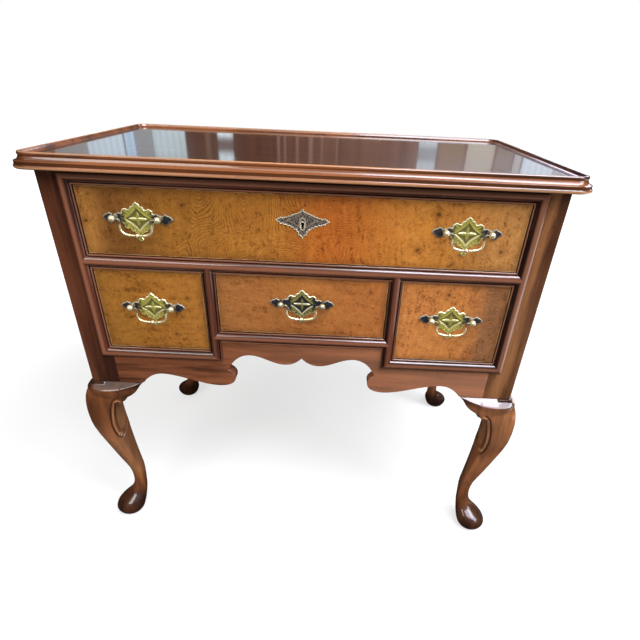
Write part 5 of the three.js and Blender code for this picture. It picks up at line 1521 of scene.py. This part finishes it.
# Materials for the CAD solids that stay as they are

NODE_MATERIALS = [
    (SIDE_WOOD, "side_left side_right"),
    (PINE, "back_panel dust_board"),
    (PINE_DEEP, "partition_left partition_right"),
    (PINE_DEEP, "bottom_board_left bottom_board_centre bottom_board_right"),
    (STEEL, "lock_case lock_bolt"),
]
# The drawer fronts' tones are their own colour, partly with painted light.
FRONT_LOOKS = {
    "top": {
        "tones": [
            (0, (166, 112, 52)), (0.07, (120, 76, 33)), (0.22, (152, 99, 37)),
            (0.42, (166, 106, 40)), (0.56, (172, 94, 33)), (0.78, (184, 118, 48)),
            (1, (172, 119, 64)),
        ],
        "seed": 0.0,
        "knots": [
            (0.232, 0.78, 0.9), (0.8, 0.81, 1.1), (0.765, 0.27, 1), (0.745, 0.34, 0.5),
            (0.955, 0.3, 1), (0.01, 0.5, 0.9), (0.85, 0.1, 0.6), (0.71, 0.64, 0.5),
            (0.18, 0.16, 0.5), (0.96, 0.62, 0.4),
        ],
        "eyes": [
            (0.37, 0.68, 1.25, 0), (0.3, 0.24, 1, 0.004), (0.2, 0.5, 1.3, 0.012),
            (0.57, 0.95, 0.85, 0.01), (0.46, -0.1, 0.9, 0.01), (0.78, 0.5, 1.2, 0.02),
        ],
        "figured": (0.42, 0.24),
        "contours": 1.0,
    },
    "left": {
        "tones": [(0, (146, 96, 36)), (0.5, (158, 102, 37)), (1, (160, 103, 41))],
        "seed": 1.3,
        "knots": [(0.69, 0.2, 0.8), (0.84, 0.68, 0.8), (0.3, 0.93, 0.5)],
        "eyes": [(0.8, 0.7, 1, 0), (0.2, -0.2, 0.7, 0)],
        "figured": (0.7, 0.2),
        "contours": 0.4,
        "streak": "x",
    },
    "centre": {
        "tones": [(0, (154, 98, 50)), (0.5, (162, 100, 48)), (1, (166, 99, 48))],
        "seed": 2.6,
        "knots": [(0.9, 0.8, 0.8), (0.07, 0.6, 0.5)],
        "eyes": [(0.2, 0.3, 1, 0), (0.8, 1.2, 0.8, 0.01)],
        "figured": (0.25, 0.25),
        "contours": 0.4,
        "streak": "x",
    },
    "right": {
        "tones": [
            (0, (190, 120, 62)), (0.55, (186, 117, 58)), (0.72, (172, 109, 58)),
            (0.86, (134, 90, 57)), (1, (140, 93, 57)),
        ],
        "seed": 4.1,
        "knots": [(0.44, 0.87, 1), (0.2, 0.2, 0.5)],
        "eyes": [(0.45, 0.78, 1.2, 0), (0.9, 0.35, 1.3, 0)],
        "figured": (0.86, 0.16),
        "contours": 0.9,
    },
}


def dress(name, material):
    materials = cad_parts[name].data.materials
    materials.clear()
    materials.append(material)


def dress_nodes():
    for material, names in NODE_MATERIALS:
        for name in names.split():
            dress(name, material)
    for name, look in FRONT_LOOKS.items():
        for part in ("side_left", "side_right", "bottom", "back"):
            dress(f"drawer_{name}_{part}", OAK)
        dress(f"drawer_{name}_front", burr_walnut(name, **look))


# The stage: a pale floor, soft lights, a camera where the photograph's was

CAMERA_PLACE = (48.75 * MM, FRONT_Y - 648.3 * MM, 839.2 * MM)
CAMERA_PITCH = math.radians(30.2)
CAMERA_YAW = math.radians(-0.07)
CAMERA_ROLL = math.radians(2.56)
CAMERA_LENS = 24.92
CAMERA_SENSOR = 36
CAMERA_SHIFT = (-0.0156, 0.028)


def make_camera():
    sine, cosine = math.sin(CAMERA_YAW), math.cos(CAMERA_YAW)
    flat = math.cos(CAMERA_PITCH)
    forward = Vector((sine * flat, cosine * flat, -math.sin(CAMERA_PITCH)))
    level_right = Vector((cosine, -sine, 0))
    level_up = level_right.cross(forward)
    sine, cosine = math.sin(CAMERA_ROLL), math.cos(CAMERA_ROLL)
    right = cosine * level_right + sine * level_up
    up = -sine * level_right + cosine * level_up
    turn = Matrix((right, up, -forward)).transposed().to_4x4()
    data = bpy.data.cameras.new("camera")
    data.sensor_width = CAMERA_SENSOR
    data.lens = CAMERA_LENS
    data.shift_x, data.shift_y = CAMERA_SHIFT
    camera = add_object("camera", data)
    camera.matrix_world = Matrix.Translation(CAMERA_PLACE) @ turn
    bpy.context.scene.camera = camera


# Lamps: place, size, power and colour. All point at LAMP_TARGET.
LAMP_TARGET = Vector((0, 0, 0.5))
LAMPS = {
    "overhead": ((0.8, -0.75, 2.3), (1.7, 0.9), 64, (0.95, 0.97, 1)),
    "front_fill": ((-1.2, -2.0, 2.3), (1.2, 1.0), 34, (1, 0.97, 0.93)),
    "right_window": ((2.2, -1.3, 1.9), (0.9, 1.1), 36, (0.84, 0.9, 1)),
}


def add_softbox(name, place, size, power, colour):
    data = bpy.data.lights.new(name, "AREA")
    data.shape = "RECTANGLE"
    data.size, data.size_y = size
    data.energy = power
    data.color = colour
    lamp = add_object(name, data)
    lamp.location = place
    lamp.rotation_euler = (LAMP_TARGET - Vector(place)).to_track_quat("-Z", "Y").to_euler()


# The white surroundings give this much light, and look as bright as 1.
WORLD_LIGHT = 0.4


def make_world():
    world = bpy.data.worlds.new("studio")
    bpy.context.scene.world = world
    tree = Tree(world)
    strength = tree.seen() * (1 - WORLD_LIGHT) + WORLD_LIGHT
    tree.shade({"Color": (1, 1, 1), "Strength": strength}, "Background", "OutputWorld")


def add_sheet(name, corners, material):
    mesh = build_mesh(name, corners, [[0, 1, 2, 3]])
    mesh.materials.append(material)
    sheet = add_object(name, mesh)
    return sheet


FLOOR_REACH = 7
# The floor's glow: from and to these distances, it goes from and to these strengths.
FLOOR_GLOW = (0.7, 1.8, 0.6, 1)


def make_floor():
    """Pale, and white to the camera away from the object, where its shadow ends."""
    tree = Tree(bpy.data.materials.new("pale_floor"))
    glow = tree.place().length().ramp(*FLOOR_GLOW)
    material = tree.shade({
        "Base Color": (0.42, 0.42, 0.42),
        "Roughness": 0.9,
        "Specular IOR Level": 0.05,
        "Emission Color": (1, 1, 1),
        "Emission Strength": tree.seen() * glow,
    })
    signs = ((-1, -1), (1, -1), (1, 1), (-1, 1))
    add_sheet("floor", [(x * FLOOR_REACH, y * FLOOR_REACH, 0) for x, y in signs], material)


# Cards that only polished surfaces reflect, each from one corner to the opposite one: painted
# reflections, which light and shade nothing. The dark ones paint the reflections of the dark parts
# of the room. The bright ones glow, though they are no lamps, and paint the reflections of its
# windows, with their glow as red, green and blue.

CARDS = {
    "card_floor": ((-3.4, -3.4, 0.002), (3.4, 1.45, 0.002)),
    "card_ceiling": ((-3.4, -3.4, 3.4), (3.4, 1.6, 3.4)),
    "card_front": ((-3.4, -3.4, 0.002), (3.4, -3.4, 3.4)),
    "card_back": ((-3.4, 1.5, 0.002), (3.4, 1.5, 3.4)),
    "card_left": ((-3.4, -3.4, 0.002), (-3.4, 1.6, 3.4)),
    "card_right": ((3.4, -3.4, 0.002), (3.4, 1.6, 3.4)),
    "painted_reflection_window": ((0.4, 1.44, 1.35), (2.4, 1.44, 2.4), (4.2, 4.4, 5.8)),
    "painted_reflection_left": ((-2.2, -1.9, 2.6), (-0.5, -0.4, 2.6), (1.9, 1.55, 1.35)),
    "painted_reflection_middle": ((-0.5, -2.3, 2.6), (0.2, -0.4, 2.6), (3.8, 3.2, 3.0)),
    "painted_reflection_right": ((0.2, -2.5, 2.6), (2.6, -0.4, 2.6), (8.4, 8.4, 10.2)),
    "painted_reflection_floor_right": ((1.0, -1.1, 0.004), (3.3, 1.1, 0.004), (2.4, 2.0, 1.9)),
}

CARD_BASE = (0.03, 0.022, 0.02)

# What the card behind the top shows, from left to right: (from, to, light). A pleated
# stretch is a curtain.
CARD_CORNERS = ((-2, 0.3), (1.6, 0.3), (1.6, 2.4), (-2, 2.4))
CARD_Y = 1.45
CARD_EDGE = 0.005
PLEAT = 0.031
BATTEN = (0.34, 0.2, 0.17)
CARD_BANDS = [
    (-1.35, -1.18, (0.4, 0.4, 0.41)),
    (-1.18, -0.999, (0.82, 0.97, 1.1)),
    (-0.992, -0.942, (0.66, 0.86, 1.1)),
    (-0.942, -0.855, (0.38, 0.4, 0.42)),
    (-0.853, -0.695, (0.72, 0.86, 0.92)),
    (-0.6, -0.572, (0.2, 0.12, 0.08)),
    (-0.25, -0.238, BATTEN),
    (-0.218, -0.208, BATTEN),
    (-0.16, -0.148, BATTEN),
    (-0.098, -0.078, (0.36, 0.21, 0.18)),
    (-0.038, -0.03, BATTEN),
    (0.034, 0.042, BATTEN),
    (0.433, 0.52, (0.36, 0.39, 0.41)),
    (0.534, 0.65, (0.32, 0.21, 0.12)),
    (0.667, 0.798, (0.62, 0.55, 0.46)),
    (0.812, 0.89, (0.32, 0.25, 0.2)),
    (0.9, 0.935, (0.58, 0.56, 0.54)),
    (0.945, 1.1, (0.95, 1.08, 1.2)),
    (1.1, 1.5, (0.56, 0.56, 0.57)),
]
# Windows, as (from, to, light). They are bright in two bands of height.
CARD_WINDOWS = [(-0.538, -0.464, (1.15, 1.35, 1.45)), (0.433, 0.52, (0.8, 0.9, 0.96))]
WINDOW_BANDS = ((0.84, 0.888), (0.955, 1.1))
WINDOW_EDGE = 0.01


def add_card(name, corners, tree, light, base):
    """A card that neither lights nor shades anything."""
    sheet = add_sheet(name, corners, tree.shade({
        "Base Color": base,
        "Roughness": 1.0,
        "Specular IOR Level": 0.0,
        "Emission Color": light,
        "Emission Strength": 1.0,
    }))
    for kind in ("camera", "diffuse", "shadow", "transmission"):
        setattr(sheet, f"visible_{kind}", False)


def make_plain_card(name, low, high, light=(0, 0, 0)):
    flat = low[2] == high[2]
    second = (high[0], low[1] if flat else high[1], low[2])
    fourth = (low[0], high[1] if flat else low[1], high[2])
    tree = Tree(bpy.data.materials.new(name))
    add_card(name, [low, second, high, fourth], tree, light, CARD_BASE)


def make_back_card():
    """The card behind the top, a painted reflection that its polish mirrors: a brown room with pale
    curtains.
    """
    tree = Tree(bpy.data.materials.new("card_behind"))
    x, _y, z = tree.axes(tree.place())

    def between(value, low, high, soft):
        return value.ramp(low - soft, low + soft) * value.ramp(high + soft, high - soft)

    streaks = tree.noise(tree.place() * (1, 1, 0.02), 22, 4, 0.7).ramp(0.35, 0.65)
    room = tree.mix(x.ramp(-0.5, 0.3), (0.13, 0.056, 0.036), (0.27, 0.145, 0.105))
    light = tree.mix(streaks, tree.mix(0.3, room, (0, 0, 0)), room)
    for low, high, colour in CARD_BANDS:
        light = tree.mix(between(x, low, high, CARD_EDGE), light, colour)
    rows = tree.math("MAXIMUM", *(between(z, *band, WINDOW_EDGE) for band in WINDOW_BANDS))
    for low, high, colour in CARD_WINDOWS:
        light = tree.mix(between(x, low, high, CARD_EDGE) * rows, light, colour)
    shade = tree.math("SINE", x * (math.tau / PLEAT)).ramp(-1, 1, 0.86, 1)
    blue = tree.axes(light)[2].ramp(0.8, 0.95)
    light = tree.mix(blue, light, tree.mix(shade, (0, 0, 0), light))
    corners = [(x, CARD_Y, z) for x, z in CARD_CORNERS]
    add_card("card_behind", corners, tree, light, (0, 0, 0))


def make_stage():
    make_world()
    make_floor()
    for name, settings in CARDS.items():
        make_plain_card(name, *settings)
    make_back_card()
    for name, settings in LAMPS.items():
        add_softbox(name, *settings)


make_camera()
make_stage()
dress_nodes()
make_top()
make_rails()
make_dividers()
make_apron()
for label, side in SIDES:
    make_leg(label, side, True)
    make_leg(label, side, False)
make_handles()
make_escutcheon()

bpy.context.scene.view_settings.view_transform = "Standard"
